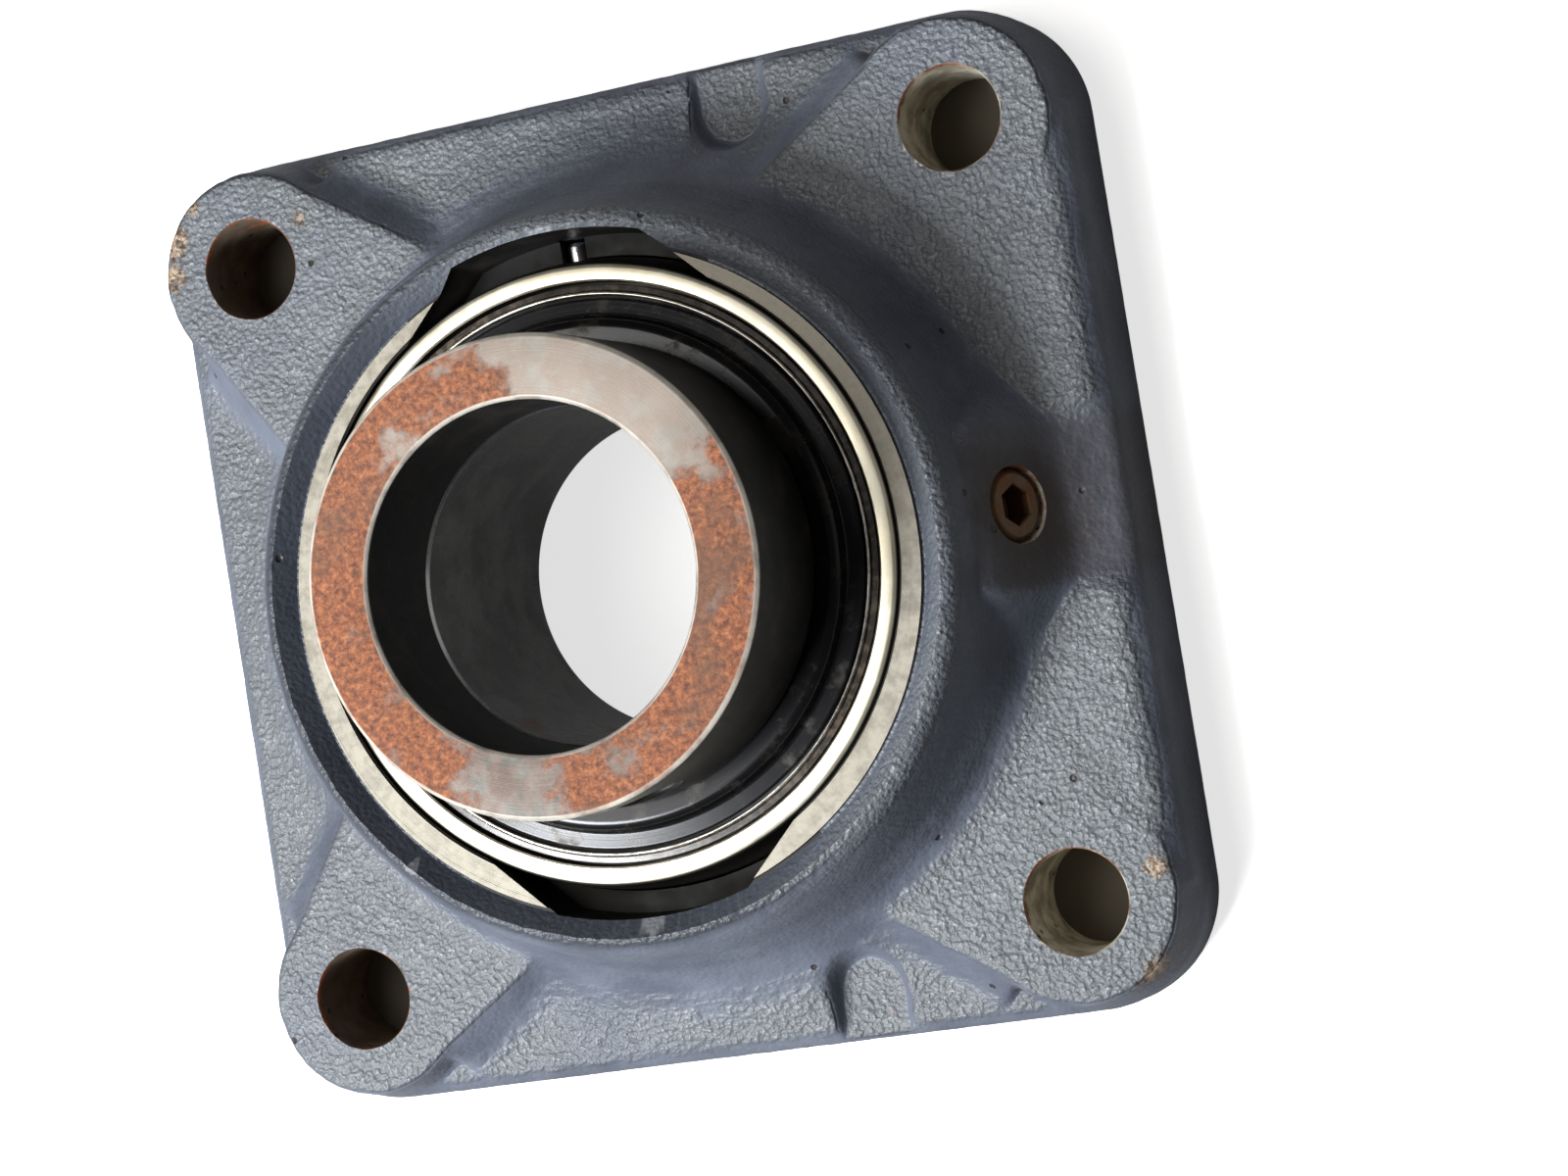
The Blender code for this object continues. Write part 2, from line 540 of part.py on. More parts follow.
def build_inner_ring():
    """Wide inner ring: raceway, two plain noses, and an eccentric end for the collar."""
    land = math.degrees(math.asin(LAND_OFFSET / RACE_R))
    step = SEAL_Z + SEAL_SHEET + FIT_GAP / 2
    raceway = arc(PITCH_R, 0.0, RACE_R, 90 + land, 270 - land, RACE_STEPS)
    outside = [(0.0, THROWER_TOP), (NOSE_R, THROWER_TOP), (NOSE_R, step), (INNER_LAND_R, step)]
    outside += raceway + [(INNER_LAND_R, -step), (NOSE_R, -step),
                          (NOSE_R, -REAR_END + CHAMFER), (NOSE_R - CHAMFER, -REAR_END),
                          (0.0, -REAR_END)]
    ring = turned("inner_ring", outside, BORE_STEEL, closed=False)
    place(ring, (0.0, 0.0, CENTRE_Z))
    cam = turned("cam", [(0.0, FRONT_END), (CAM_R - CHAMFER, FRONT_END), (CAM_R, FRONT_END - CHAMFER),
                         (CAM_R, THROWER_TOP - OVERCUT), (0.0, THROWER_TOP - OVERCUT)], closed=False)
    place(cam, (CAM_OFFSET, 0.0, CENTRE_Z))
    bore = turned("shaft_bore", [
        (0.0, FRONT_END + OVERCUT), (BORE_R + CHAMFER + OVERCUT, FRONT_END + OVERCUT),
        (BORE_R, FRONT_END - CHAMFER), (BORE_R, -REAR_END + CHAMFER),
        (BORE_R + CHAMFER + OVERCUT, -REAR_END - OVERCUT), (0.0, -REAR_END - OVERCUT)],
        closed=False)
    place(bore, (0.0, 0.0, CENTRE_Z))
    combine(ring, [cam], "UNION")
    combine(ring, [bore], "DIFFERENCE")


def build_balls():
    """Balls on the pitch circle, each with its origin at its own centre."""
    mesh = bpy.data.meshes.new("ball")
    shape = bmesh.new()
    bmesh.ops.create_uvsphere(shape, u_segments=12, v_segments=8, radius=BALL_R * MM)
    shape.to_mesh(mesh)
    shape.free()
    mesh.materials.append(BALL_STEEL)
    for index in range(BALL_COUNT):
        angle = math.tau * index / BALL_COUNT
        ball = bpy.data.objects.new("ball_%d" % (index + 1), mesh)
        PARTS.objects.link(ball)
        place(ball, (PITCH_R * math.cos(angle), PITCH_R * math.sin(angle), CENTRE_Z))


def cage_wave():
    """Angle and height of the cage ribbon's middle all round: flat, then over each ball."""
    arch_r = BALL_R + CAGE_CLEARANCE + CAGE_SHEET / 2
    flat_z = CAGE_SHEET / 2 + FIT_GAP / 2
    limit = math.acos(flat_z / arch_r)
    wave = []
    for index in range(BALL_COUNT):
        centre = math.tau * index / BALL_COUNT
        for step in range(RACE_STEPS + 1):
            lean = -limit + 2 * limit * step / RACE_STEPS
            wave.append((centre + arch_r * math.sin(lean) / PITCH_R, arch_r * math.cos(lean)))
        wave.append((centre + math.pi / BALL_COUNT, flat_z))
    return wave


def build_cage():
    """Two pressed ribbons that arch over the balls, riveted between them."""
    wave = cage_wave()
    for name, side in (("cage_front", 1), ("cage_rear", -1)):
        shape = bmesh.new()
        pairs = []
        for angle, height in wave:
            pairs.append([shape.verts.new((
                radius * math.cos(angle) * MM, radius * math.sin(angle) * MM, side * height * MM))
                for radius in (PITCH_R - CAGE_HALF_WIDTH, PITCH_R + CAGE_HALF_WIDTH)])
        for here, after in zip(pairs, pairs[1:] + pairs[:1]):
            shape.faces.new((here[0], here[1], after[1], after[0]))
        mesh = bpy.data.meshes.new(name)
        shape.to_mesh(mesh)
        shape.free()
        ribbon = add_object(name, mesh, CAGE_STEEL)
        sheet = ribbon.modifiers.new("sheet", "SOLIDIFY")
        sheet.thickness = CAGE_SHEET * MM
        sheet.offset = 0.0
        place(ribbon, (0.0, 0.0, CENTRE_Z))
        combine(ribbon, [rivet_hole(name, i) for i in range(BALL_COUNT)], "DIFFERENCE")
    head_z = CAGE_SHEET + FIT_GAP / 2 + FIT_GAP
    for index in range(BALL_COUNT):
        rivet = turned("cage_rivet_%d" % (index + 1), [
            (0.0, head_z + RIVET_HEAD_HEIGHT), (RIVET_HEAD_R, head_z), (RIVET_R, head_z),
            (RIVET_R, -head_z), (RIVET_HEAD_R, -head_z), (0.0, -head_z - RIVET_HEAD_HEIGHT)],
            CAGE_STEEL, closed=False, segments=SMALL_SEGMENTS)
        place(rivet, rivet_centre(index))


def rivet_centre(index):
    """Point between two neighbouring balls."""
    angle = math.tau * (index + 0.5) / BALL_COUNT
    return (PITCH_R * math.cos(angle), PITCH_R * math.sin(angle), CENTRE_Z)


def rivet_hole(name, index):
    """Cutter for one rivet hole in a cage ribbon."""
    hole = cylinder("%s_hole_%d" % (name, index + 1), RIVET_R + FIT_GAP, -2 * OVERCUT, 2 * OVERCUT,
                    segments=SMALL_SEGMENTS)
    return place(hole, rivet_centre(index), Matrix.Rotation(index + 0.2, 3, "Z"))


def build_seals():
    """On each side: lip seal and shield fixed in the outer ring, thrower on the inner ring."""
    rim = SEAL_SEAT_R - FIT_GAP
    lip = INNER_LAND_R + FIT_GAP
    seal = [(rim, SEAL_Z + SEAL_SHEET), (rim, SEAL_Z), (lip + SEAL_LIP_WIDTH, SEAL_Z),
            (lip, SEAL_Z - SEAL_LIP_DROOP), (lip, SEAL_Z + SEAL_SHEET)]
    shield_in = rim - SHIELD_WIDTH
    shield_top = SHIELD_Z + SHIELD_HEIGHT - SHIELD_SUNK
    shield = [(rim - SHIELD_BEVEL, shield_top), (rim, SHIELD_Z + SHIELD_BEVEL / 2), (rim, SHIELD_Z),
              (shield_in, SHIELD_Z), (shield_in, shield_top)]
    outer = shield_in - FIT_GAP
    knee = PITCH_R + THROWER_KNEE
    inner = NOSE_R + FIT_GAP
    under = THROWER_TOP - THROWER_SHEET
    thrower = [(knee - 2 * THROWER_FLARE, THROWER_TOP), (knee, THROWER_TOP - THROWER_FLARE),
               (knee + THROWER_FLARE, THROWER_Z + THROWER_SHEET),
               (outer, THROWER_Z + THROWER_SHEET), (outer, THROWER_Z),
               (knee - THROWER_FLARE, THROWER_Z), (knee - 2 * THROWER_FLARE, under),
               (inner, under), (inner, THROWER_TOP)]
    for kind, profile, finish in (("seal", seal, SEAL_RUBBER), ("shield", shield, SHIELD_STEEL),
                                  ("thrower", thrower, BLACK_STEEL)):
        place(turned("front_" + kind, profile, finish), (0.0, 0.0, CENTRE_Z))
        place(turned("rear_" + kind, mirrored(profile), finish), (0.0, 0.0, CENTRE_Z))


def build_collar():
    """Locking collar: plain bore in front, eccentric recess behind, over the ring's cam."""
    collar = turned("locking_collar", [(0.0, COLLAR_TOP)]
                    + chamfered(COLLAR_R, COLLAR_FOOT, COLLAR_TOP, COLLAR_CHAMFER) + [(0.0, COLLAR_FOOT)],
                    RUSTY_STEEL, closed=False)
    place(collar, (0.0, 0.0, CENTRE_Z))
    bore = turned("collar_bore", [
        (0.0, COLLAR_TOP + OVERCUT), (COLLAR_BORE_R + COLLAR_LEAD + OVERCUT, COLLAR_TOP + OVERCUT),
        (COLLAR_BORE_R, COLLAR_TOP - COLLAR_LEAD), (COLLAR_BORE_R, COLLAR_FOOT - OVERCUT),
        (0.0, COLLAR_FOOT - OVERCUT)], closed=False)
    place(bore, (0.0, 0.0, CENTRE_Z))
    recess = cylinder("cam_recess", CAM_BORE_R, COLLAR_FOOT - OVERCUT,
                      FRONT_END + RECESS_FLOOR_GAP, segments=SEGMENTS)
    place(recess, (CAM_OFFSET, 0.0, CENTRE_Z))
    screw_hole = cylinder("screw_hole", SET_SCREW_D / 2 + FIT_GAP, BORE_R - OVERCUT,
                          COLLAR_R + OVERCUT)
    place(screw_hole, (0.0, 0.0, SET_SCREW_Z), SET_SCREW_TURN)
    drift = cylinder("drift_hole", DRIFT_HOLE_D / 2, COLLAR_R - DRIFT_HOLE_DEPTH,
                     COLLAR_R + OVERCUT)
    place(drift, (0.0, 0.0, SET_SCREW_Z), radial_turn(DRIFT_HOLE_ANGLE))
    combine(collar, [bore, recess, screw_hole, drift], "DIFFERENCE")


def radial_turn(degrees):
    """Rotation that sends +Z outwards along a radius at an angle about the bore axis."""
    return Matrix.Rotation(math.radians(degrees), 3, "Z") @ Matrix.Rotation(math.pi / 2, 3, "Y")


SET_SCREW_Z = CENTRE_Z + COLLAR_TOP - SET_SCREW_DEPTH
SET_SCREW_TURN = radial_turn(SET_SCREW_ANGLE)


def build_set_screw():
    """Cup point set screw in the collar, its origin on the bore axis."""
    low, high = COLLAR_BORE_R + SET_SCREW_BACKED, COLLAR_R - SET_SCREW_SUNK
    radius = SET_SCREW_D / 2
    screw = turned("collar_set_screw", [(0.0, high)] + [
        (radius - CHAMFER, high), (radius, high - CHAMFER), (radius, low + SET_SCREW_POINT),
        (radius - SET_SCREW_POINT, low), (0.0, low)], BLACK_STEEL, closed=False, segments=FINE_SEGMENTS)
    place(screw, (0.0, 0.0, SET_SCREW_Z), SET_SCREW_TURN)
    socket = hex_cutter("screw_socket", SET_SCREW_HEX, SET_SCREW_SOCKET, high)
    place(socket, (0.0, 0.0, SET_SCREW_Z), SET_SCREW_TURN)
    combine(screw, [socket], "DIFFERENCE")


def bake_parts():
    """Turn each part's modifiers into mesh, with curved sides shaded smooth."""
    bpy.context.view_layer.update()
    graph = bpy.context.evaluated_depsgraph_get()
    baked = {part: bpy.data.meshes.new_from_object(part.evaluated_get(graph))
             for part in PARTS.objects if part.modifiers}
    for part, mesh in baked.items():
        part.modifiers.clear()
        part.data = mesh
        mesh.shade_smooth()
        mesh.set_sharp_from_angle(angle=math.radians(30))


build_housing()
build_grease_plug()
build_outer_ring()
build_pin()
build_inner_ring()
build_balls()
build_cage()
build_seals()
build_collar()
build_set_screw()
bake_parts()
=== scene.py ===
"""Looks of a four-bolt flange bearing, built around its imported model.

The file follows the bearing as it is put together: casting, plug, outer ring, pin, inner
ring, balls, cage, seals, collar, set screw. Sizes are in millimetres and become metres in
the mesh helpers.
"""
import json
import math

import bmesh
import bpy
import numpy as np
from mathutils import Matrix, Vector, noise


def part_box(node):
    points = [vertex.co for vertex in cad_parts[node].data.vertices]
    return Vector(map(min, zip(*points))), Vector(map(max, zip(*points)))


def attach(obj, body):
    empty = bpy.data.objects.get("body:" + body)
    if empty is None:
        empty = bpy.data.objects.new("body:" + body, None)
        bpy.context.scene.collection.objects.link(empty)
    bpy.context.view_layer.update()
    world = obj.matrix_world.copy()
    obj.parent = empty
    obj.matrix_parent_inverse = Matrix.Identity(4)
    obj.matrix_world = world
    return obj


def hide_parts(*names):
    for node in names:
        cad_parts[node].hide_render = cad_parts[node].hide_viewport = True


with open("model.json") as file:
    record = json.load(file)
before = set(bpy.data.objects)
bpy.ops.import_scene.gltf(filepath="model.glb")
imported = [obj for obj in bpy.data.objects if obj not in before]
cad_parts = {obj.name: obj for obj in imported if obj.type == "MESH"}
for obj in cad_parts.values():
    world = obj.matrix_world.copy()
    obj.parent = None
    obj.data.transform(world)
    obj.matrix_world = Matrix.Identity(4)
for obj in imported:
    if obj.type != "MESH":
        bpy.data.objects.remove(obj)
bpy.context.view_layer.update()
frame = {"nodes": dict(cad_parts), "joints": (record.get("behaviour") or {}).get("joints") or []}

# ---- Camera ------------------------------------------------------------------------------
# A viewer standing over the bearing, a little to its right, looking down past the collar.

CAMERA_PLACE = (0.165795, -0.020942, 0.444802)
CAMERA_TURN = (-1.147, 18.93, -9.63)    # degrees about X, Y and Z
CAMERA_LENS = 77.2

view = bpy.data.cameras.new("view")
view.lens = CAMERA_LENS
view.sensor_width = 36.0
view.clip_start = 0.01
camera = bpy.data.objects.new("camera", view)
bpy.context.scene.collection.objects.link(camera)
camera.location = CAMERA_PLACE
camera.rotation_euler = [math.radians(angle) for angle in CAMERA_TURN]
bpy.context.scene.camera = camera
bpy.context.scene.view_settings.view_transform = "Standard"

# ---- Casting: flange, hub and rim --------------------------------------------------------
# One grey iron sand casting, painted slate blue and worn to grey on its flat tops. The hub
# blends into the flange in soft fillets, and each corner carries a round pad with a web.

MM = 0.001
HALF_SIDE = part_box("housing")[1].x / MM
RIM_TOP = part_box("housing")[1].z / MM
SPHERE_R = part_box("outer_ring")[1].x / MM
HALF_SPACING = 52.4
CORNER_R = 16.5
CAST_INSET = 0.25       # keeps the grain of the casting inside the flange's outline
CAST_SHIFT = -0.8       # rim of the casting off its bored seat, along Y
WALL_DRAFT = 0.6
PAD_HEIGHT = 16.0
PAD_TOP_R = 14.3
PAD_SLOPE = 9.0
WEB_DROP = 0.15
WEB_SLOPE = 1.3
WEB_HALF_WIDTH = 19.0
FLANGE_EDGE = 9.0
FLANGE_ROUND = 3.0
RIGHT_START = 51.0      # the flange is as high as the webs on the plug's side, from here out
RIGHT_ROUND = 5.0
RIGHT_SLOPE = 1.5       # its fall towards the hub
RIGHT_DIP = 1.2         # its fall towards the ramp
RAMP_HALF_WIDTH = 11.0
RAMP_SLOPE = 1.7
NOTCH_X = 20.4
NOTCH_R = 4.7
NOTCH_BEND_Y = 61.3
NOTCH_FLOOR = 8.0
NOTCH_SLOPE = 4.0
WEB_START = 30.0        # a web grows out of the hub from here along its diagonal
RAMP_START = 20.0
AWAY = -50.0            # a height that no surface of the casting reaches
CAST_GRID = 0.6
CAST_VOXEL = 0.62
HIGHEST_GRAIN = 0.16
UNDER = -3.0            # the blank reaches this low, and its underside is then cut flat at zero
# Rim and hub from the axis outwards: radius, height
HUB_PROFILE = [(0, RIM_TOP - 0.1), (48.5, RIM_TOP - 0.1), (49.6, RIM_TOP - 0.8), (50.5, RIM_TOP - 2.6),
               (51.4, 28.5), (52.5, 23.2), (54.3, 18.3), (57.2, 14.4), (60.6, 11.9), (64.5, 10.2),
               (HALF_SIDE, 9.2), (2 * HALF_SIDE, FLANGE_EDGE)]
RAMP_PROFILE = [(0, 29.2), (51.6, 29.2), (52.6, 28.4), (58.2, 17.6), (60.0, 15.6), (HALF_SIDE, 13.0)]


def soft_max(a, b, blend):
    """The higher of two surfaces, with a fillet where they cross."""
    near = np.maximum(blend - np.abs(a - b), 0.0) / blend
    return np.maximum(a, b) + near * near * blend / 4


def soft_min(a, b, blend):
    """The lower of two surfaces, rounded where they cross."""
    return -soft_max(-a, -b, blend)


def along_profile(value, profile):
    """Height at a distance, from a list of (distance, height)."""
    return np.interp(value, [point[0] for point in profile], [point[1] for point in profile])


def rounded_edge(inset, radius):
    """How far a rounded edge falls away at a distance inside the outline."""
    near = np.clip(radius - inset, 0.0, radius)
    return radius - np.sqrt(radius * radius - near * near)


def casting_height(x, y, inset):
    """Height of the upper skin of the casting over a point of the flange."""
    hub = along_profile(np.hypot(x, y - CAST_SHIFT), HUB_PROFILE)
    skin = soft_max(hub, FLANGE_EDGE, 2.5) - rounded_edge(inset, FLANGE_ROUND)
    right = PAD_HEIGHT - WEB_DROP - 0.2 - RIGHT_SLOPE * np.maximum(RIGHT_START - x, 0.0)
    right = right - RIGHT_DIP * np.maximum(RAMP_HALF_WIDTH + 1.5 - np.abs(y), 0.0)
    right = right - rounded_edge(HALF_SIDE - x, RIGHT_ROUND)
    tops = np.where(np.abs(y) < HALF_SPACING, right, AWAY)
    for turn in range(4):
        angle = math.radians(45 + 90 * turn)
        out_x, out_y = math.cos(angle), math.sin(angle)
        reach = HALF_SPACING * math.sqrt(2)
        along, across = x * out_x + y * out_y, y * out_x - x * out_y
        half = np.interp(along, [SPHERE_R + 6.0, reach], [WEB_HALF_WIDTH, PAD_TOP_R - 0.6])
        web = PAD_HEIGHT - WEB_DROP - WEB_SLOPE * np.maximum(np.abs(across) - half, 0.0)
        web = np.where((along > WEB_START) & (along < reach), web, AWAY)
        away = np.hypot(along - reach, across)
        pad = PAD_HEIGHT + 0.15 - PAD_SLOPE * np.maximum(away - PAD_TOP_R, 0.0)
        pad = soft_min(pad, np.full_like(pad, PAD_HEIGHT), 0.5)
        tops = np.maximum(tops, np.maximum(web, pad))
    skin = soft_max(skin, tops, 3.2)
    ramp = along_profile(x, RAMP_PROFILE) - RAMP_SLOPE * np.maximum(np.abs(y) - RAMP_HALF_WIDTH, 0.0)
    ramp = ramp - rounded_edge(inset, 2.0)
    skin = soft_max(skin, np.where(x > RAMP_START, ramp, AWAY), 3.0)
    for side in (1, -1):
        from_bend = np.hypot(x - NOTCH_X, side * y - NOTCH_BEND_Y)
        past_bend = np.where(side * y > NOTCH_BEND_Y, np.abs(x - NOTCH_X), from_bend)
        notch = NOTCH_FLOOR + NOTCH_SLOPE * np.maximum(past_bend - NOTCH_R, 0.0)
        skin = soft_min(skin, notch, 0.7)
    return skin


def link(name, mesh):
    """A new object at the origin for a mesh."""
    made = bpy.data.objects.new(name, mesh)
    bpy.context.scene.collection.objects.link(made)
    return made


def evaluated(piece):
    """Turn the modifiers of a piece into its plain mesh."""
    graph = bpy.context.evaluated_depsgraph_get()
    mesh = bpy.data.meshes.new_from_object(piece.evaluated_get(graph))
    piece.modifiers.clear()
    piece.data = mesh
    mesh.materials.clear()
    return piece


def casting_blank():
    """The casting before machining: skin over the flange, walls down, flat underneath."""
    count = int(2 * HALF_SIDE / CAST_GRID) + 1
    line = np.linspace(-HALF_SIDE, HALF_SIDE, count)
    x, y = np.meshgrid(line, line, indexing="ij")
    limit = HALF_SIDE - CAST_INSET
    core = HALF_SIDE - CORNER_R
    out_x, out_y = x - np.clip(x, -core, core), y - np.clip(y, -core, core)
    beyond = np.hypot(out_x, out_y)
    reach = np.minimum(1.0, (limit - core) / np.maximum(beyond, 1e-6))
    x, y = x + out_x * (reach - 1.0), y + out_y * (reach - 1.0)
    inset = limit - core - np.hypot(out_x, out_y) * reach
    top = casting_height(x, y, inset)
    lean = 1.0 - WALL_DRAFT / HALF_SIDE * top / PAD_HEIGHT
    skin = np.stack([x * lean, y * lean, top], -1).reshape(-1, 3)
    under = np.stack([x, y, np.full_like(x, UNDER)], -1).reshape(-1, 3)
    index = np.arange(count * count).reshape(count, count)
    quads = np.stack([index[:-1, :-1], index[1:, :-1], index[1:, 1:], index[:-1, 1:]], -1).reshape(-1, 4)
    rim = np.concatenate([index[:-1, 0], index[-1, :-1], index[:0:-1, -1], index[0, :0:-1]])
    after = np.roll(rim, -1)
    low = count * count
    walls = np.stack([rim, rim + low, after + low, after], -1)
    faces = np.concatenate([quads, quads[:, ::-1] + low, walls])
    mesh = bpy.data.meshes.new("casting")
    mesh.from_pydata((np.concatenate([skin, under]) * MM).tolist(), [], faces.tolist())
    blank = link("casting_shell", mesh)
    remesh = blank.modifiers.new("even", "REMESH")
    remesh.mode = "VOXEL"
    remesh.voxel_size = CAST_VOXEL * MM
    soften = blank.modifiers.new("soften", "SMOOTH")
    soften.factor = 0.5
    soften.iterations = 3
    return evaluated(blank)


def sand_skin(blank):
    """Push the skin in and out as a sand mould leaves it: most on flat tops, least on walls."""
    mesh = blank.data
    count = len(mesh.vertices)
    place = np.empty(count * 3)
    mesh.vertices.foreach_get("co", place)
    place = place.reshape(-1, 3)
    normal = np.empty(count * 3)
    mesh.vertices.foreach_get("normal", normal)
    normal = normal.reshape(-1, 3)
    wave = np.array([noise.noise(Vector(p) / (9.0 * MM)) * 0.16 + noise.noise(Vector(p) / (2.6 * MM)) * 0.09
                     + noise.noise(Vector(p) / (1.3 * MM)) * 0.13 for p in place])
    amount = 0.35 + 0.65 * np.clip((normal[:, 2] - 0.55) / 0.35, 0.0, 1.0)
    amount = np.where(place[:, 2] < 2.0 * MM, 0.2, amount)
    moved = place + normal * (np.minimum(wave * amount, HIGHEST_GRAIN) * MM)[:, None]
    mesh.vertices.foreach_set("co", moved.ravel())
    mesh.update()


casting = casting_blank()
sand_skin(casting)

# ---- Casting: machined faces, slots and holes --------------------------------------------
# The face round the ring, the spherical seat, the bolt holes and the tapped plug hole are
# cut after casting. Two loading slots let the ring in edgeways; they stay near black, with grease and painted
# shade of their depth.

JOINTS = {joint["name"]: joint for joint in frame["joints"]}
CENTRE_Z = JOINTS["align_x"]["pos_m"][2] / MM
RING_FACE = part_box("outer_ring")[1].z / MM
FACE_Z = RING_FACE + 0.2
FACE_R = SPHERE_R + 1.7
CONE_FOOT_R = SPHERE_R + 2.2
SEAT_R = SPHERE_R + 0.3
REAR_BORE_R = SEAT_R + 1.0
SLOT_R = SPHERE_R + 3.2
SLOT_FLOOR = CENTRE_Z + 2.0
SLOT_INNER_HALF = 16.2
SLOT_OUTER_HALF = 13.6
BOLT_HOLE_R = 7.0
GROOVE_LOW, GROOVE_HIGH = 14.35, 17.35
PLUG_RISE = 28.0
PLUG_MOUTH = (55.28, 0.0, 22.64)
PLUG_R = 4.85
PLUG_SUNK = 0.6
PIN_R = 1.5
LARGE_TURN = 160
ABOVE, BELOW = 60.0, -2.0       # cutters reach clear of the casting, upwards and downwards
PLUG_AXIS = Vector((math.cos(math.radians(PLUG_RISE)), 0.0, math.sin(math.radians(PLUG_RISE))))
PLUG_TURN = PLUG_AXIS.to_track_quat("Z", "Y").to_matrix().to_4x4()


def softened(profile, radius, closed=True):
    """Round the corners of a profile; corners on the axis stay."""
    made = []
    count = len(profile)
    for i, (r, z) in enumerate(profile):
        here = Vector((r, z))
        if r < 1e-6 or (not closed and i in (0, count - 1)):
            made.append((r, z))
            continue
        before, after = Vector(profile[i - 1]), Vector(profile[(i + 1) % count])
        back, ahead = before - here, after - here
        start = here + back.normalized() * min(radius, back.length * 0.45)
        end = here + ahead.normalized() * min(radius, ahead.length * 0.45)
        for t in (0.0, 0.33, 0.67, 1.0):
            point = start * (1 - t) ** 2 + here * 2 * t * (1 - t) + end * t * t
            made.append((point.x, point.y))
    return made


def turned(name, profile, place=(0.0, 0.0, 0.0), turn=None, segments=LARGE_TURN, closed=True):
    """Turn a profile of (radius, height) about its axis into one closed smooth mesh."""
    shape = bmesh.new()
    points = [shape.verts.new((r * MM, 0.0, z * MM)) for r, z in profile]
    edges = [shape.edges.new(pair) for pair in zip(points, points[1:])]
    if closed:
        edges.append(shape.edges.new((points[-1], points[0])))
    bmesh.ops.spin(shape, geom=points + edges, axis=(0, 0, 1), cent=(0, 0, 0), angle=math.tau,
                   steps=segments, use_merge=True)
    bmesh.ops.remove_doubles(shape, verts=shape.verts, dist=1e-7)
    bmesh.ops.recalc_face_normals(shape, faces=shape.faces)
    matrix = Matrix.Translation(Vector(place) * MM)
    if turn is not None:
        matrix = matrix @ turn
    bmesh.ops.transform(shape, matrix=matrix, verts=shape.verts)
    mesh = bpy.data.meshes.new(name)
    shape.to_mesh(mesh)
    shape.free()
    return link(name, mesh)


def block(name, outline, low, high):
    """A prism over a flat outline of (x, y) points."""
    shape = bmesh.new()
    base = shape.faces.new([shape.verts.new((x * MM, y * MM, low * MM)) for x, y in outline])
    raised = bmesh.ops.extrude_face_region(shape, geom=[base])["geom"]
    top = [item for item in raised if isinstance(item, bmesh.types.BMVert)]
    bmesh.ops.translate(shape, vec=(0, 0, (high - low) * MM), verts=top)
    bmesh.ops.recalc_face_normals(shape, faces=shape.faces)
    mesh = bpy.data.meshes.new(name)
    shape.to_mesh(mesh)
    shape.free()
    return link(name, mesh)


def smooth(piece, degrees):
    """Shade a piece smooth, with edges sharper than an angle kept."""
    piece.data.shade_smooth()
    piece.data.set_sharp_from_angle(angle=math.radians(degrees))


def machined(piece, tools, operation="DIFFERENCE"):
    """Cut or join a piece with other solids, which are used up."""
    for tool in tools:
        step = piece.modifiers.new(tool.name, "BOOLEAN")
        step.operation = operation
        step.solver = "MANIFOLD"
        step.object = tool
    evaluated(piece)
    for tool in tools:
        bpy.data.objects.remove(tool, do_unlink=True)
    return piece


def seat_cutter():
    """Face, spherical seat with its grease groove and rear bore, as one turned cutter."""
    face = math.asin((FACE_Z - CENTRE_Z) / SEAT_R)
    profile = [(0.0, ABOVE), (FACE_R, ABOVE), (FACE_R, FACE_Z), (SEAT_R * math.cos(face) + 0.4, FACE_Z)]
    steps = 18
    for i in range(steps + 1):
        angle = face * 0.97 - 2 * face * 0.97 * i / steps
        height = CENTRE_Z + SEAT_R * math.sin(angle)
        grooved = GROOVE_LOW < height < GROOVE_HIGH
        profile.append((SPHERE_R + 1.2 if grooved else SEAT_R * math.cos(angle), height))
    profile += [(REAR_BORE_R, CENTRE_Z * 2 - FACE_Z), (REAR_BORE_R, 0.6), (REAR_BORE_R + 2.6, BELOW),
                (0.0, BELOW)]
    return turned("seat_cutter", profile, closed=False)


def rim_cutter():
    """The cone inside the rim, with the thin groove at its foot; it follows the casting."""
    wide, groove = CONE_FOOT_R + 8.0, FACE_Z - 0.5
    return turned("rim_cutter", [
        (0.0, ABOVE), (wide, ABOVE), (wide, FACE_Z + 7.5), (CONE_FOOT_R, groove), (CONE_FOOT_R - 0.4, groove),
        (CONE_FOOT_R - 0.5, FACE_Z + 0.03), (0.0, FACE_Z + 0.03)],
        place=(0.0, CAST_SHIFT, 0.0), closed=False)


def slot_cutter(side):
    """One loading slot; side is +1 or -1 along Y."""
    lean = (SLOT_INNER_HALF - SLOT_OUTER_HALF) / (SLOT_R - SPHERE_R)
    inside = 8.0            # how far the cutter starts inside the seat
    half = SLOT_INNER_HALF + lean * inside
    steps = 24
    swing = math.asin(SLOT_OUTER_HALF / SLOT_R)
    back = [(SLOT_R * math.sin(a), side * SLOT_R * math.cos(a))
            for a in (swing - 2 * swing * i / steps for i in range(steps + 1))]
    front = side * (SPHERE_R - inside)
    return block("slot_%+d" % side, [(-half, front), (half, front)] + back,
                 SLOT_FLOOR, ABOVE)


def corner_places():
    """Centres of the four bolt holes, in order round the flange."""
    return [(sx * HALF_SPACING, sy * HALF_SPACING) for sx, sy in ((1, 1), (-1, 1), (-1, -1), (1, -1))]


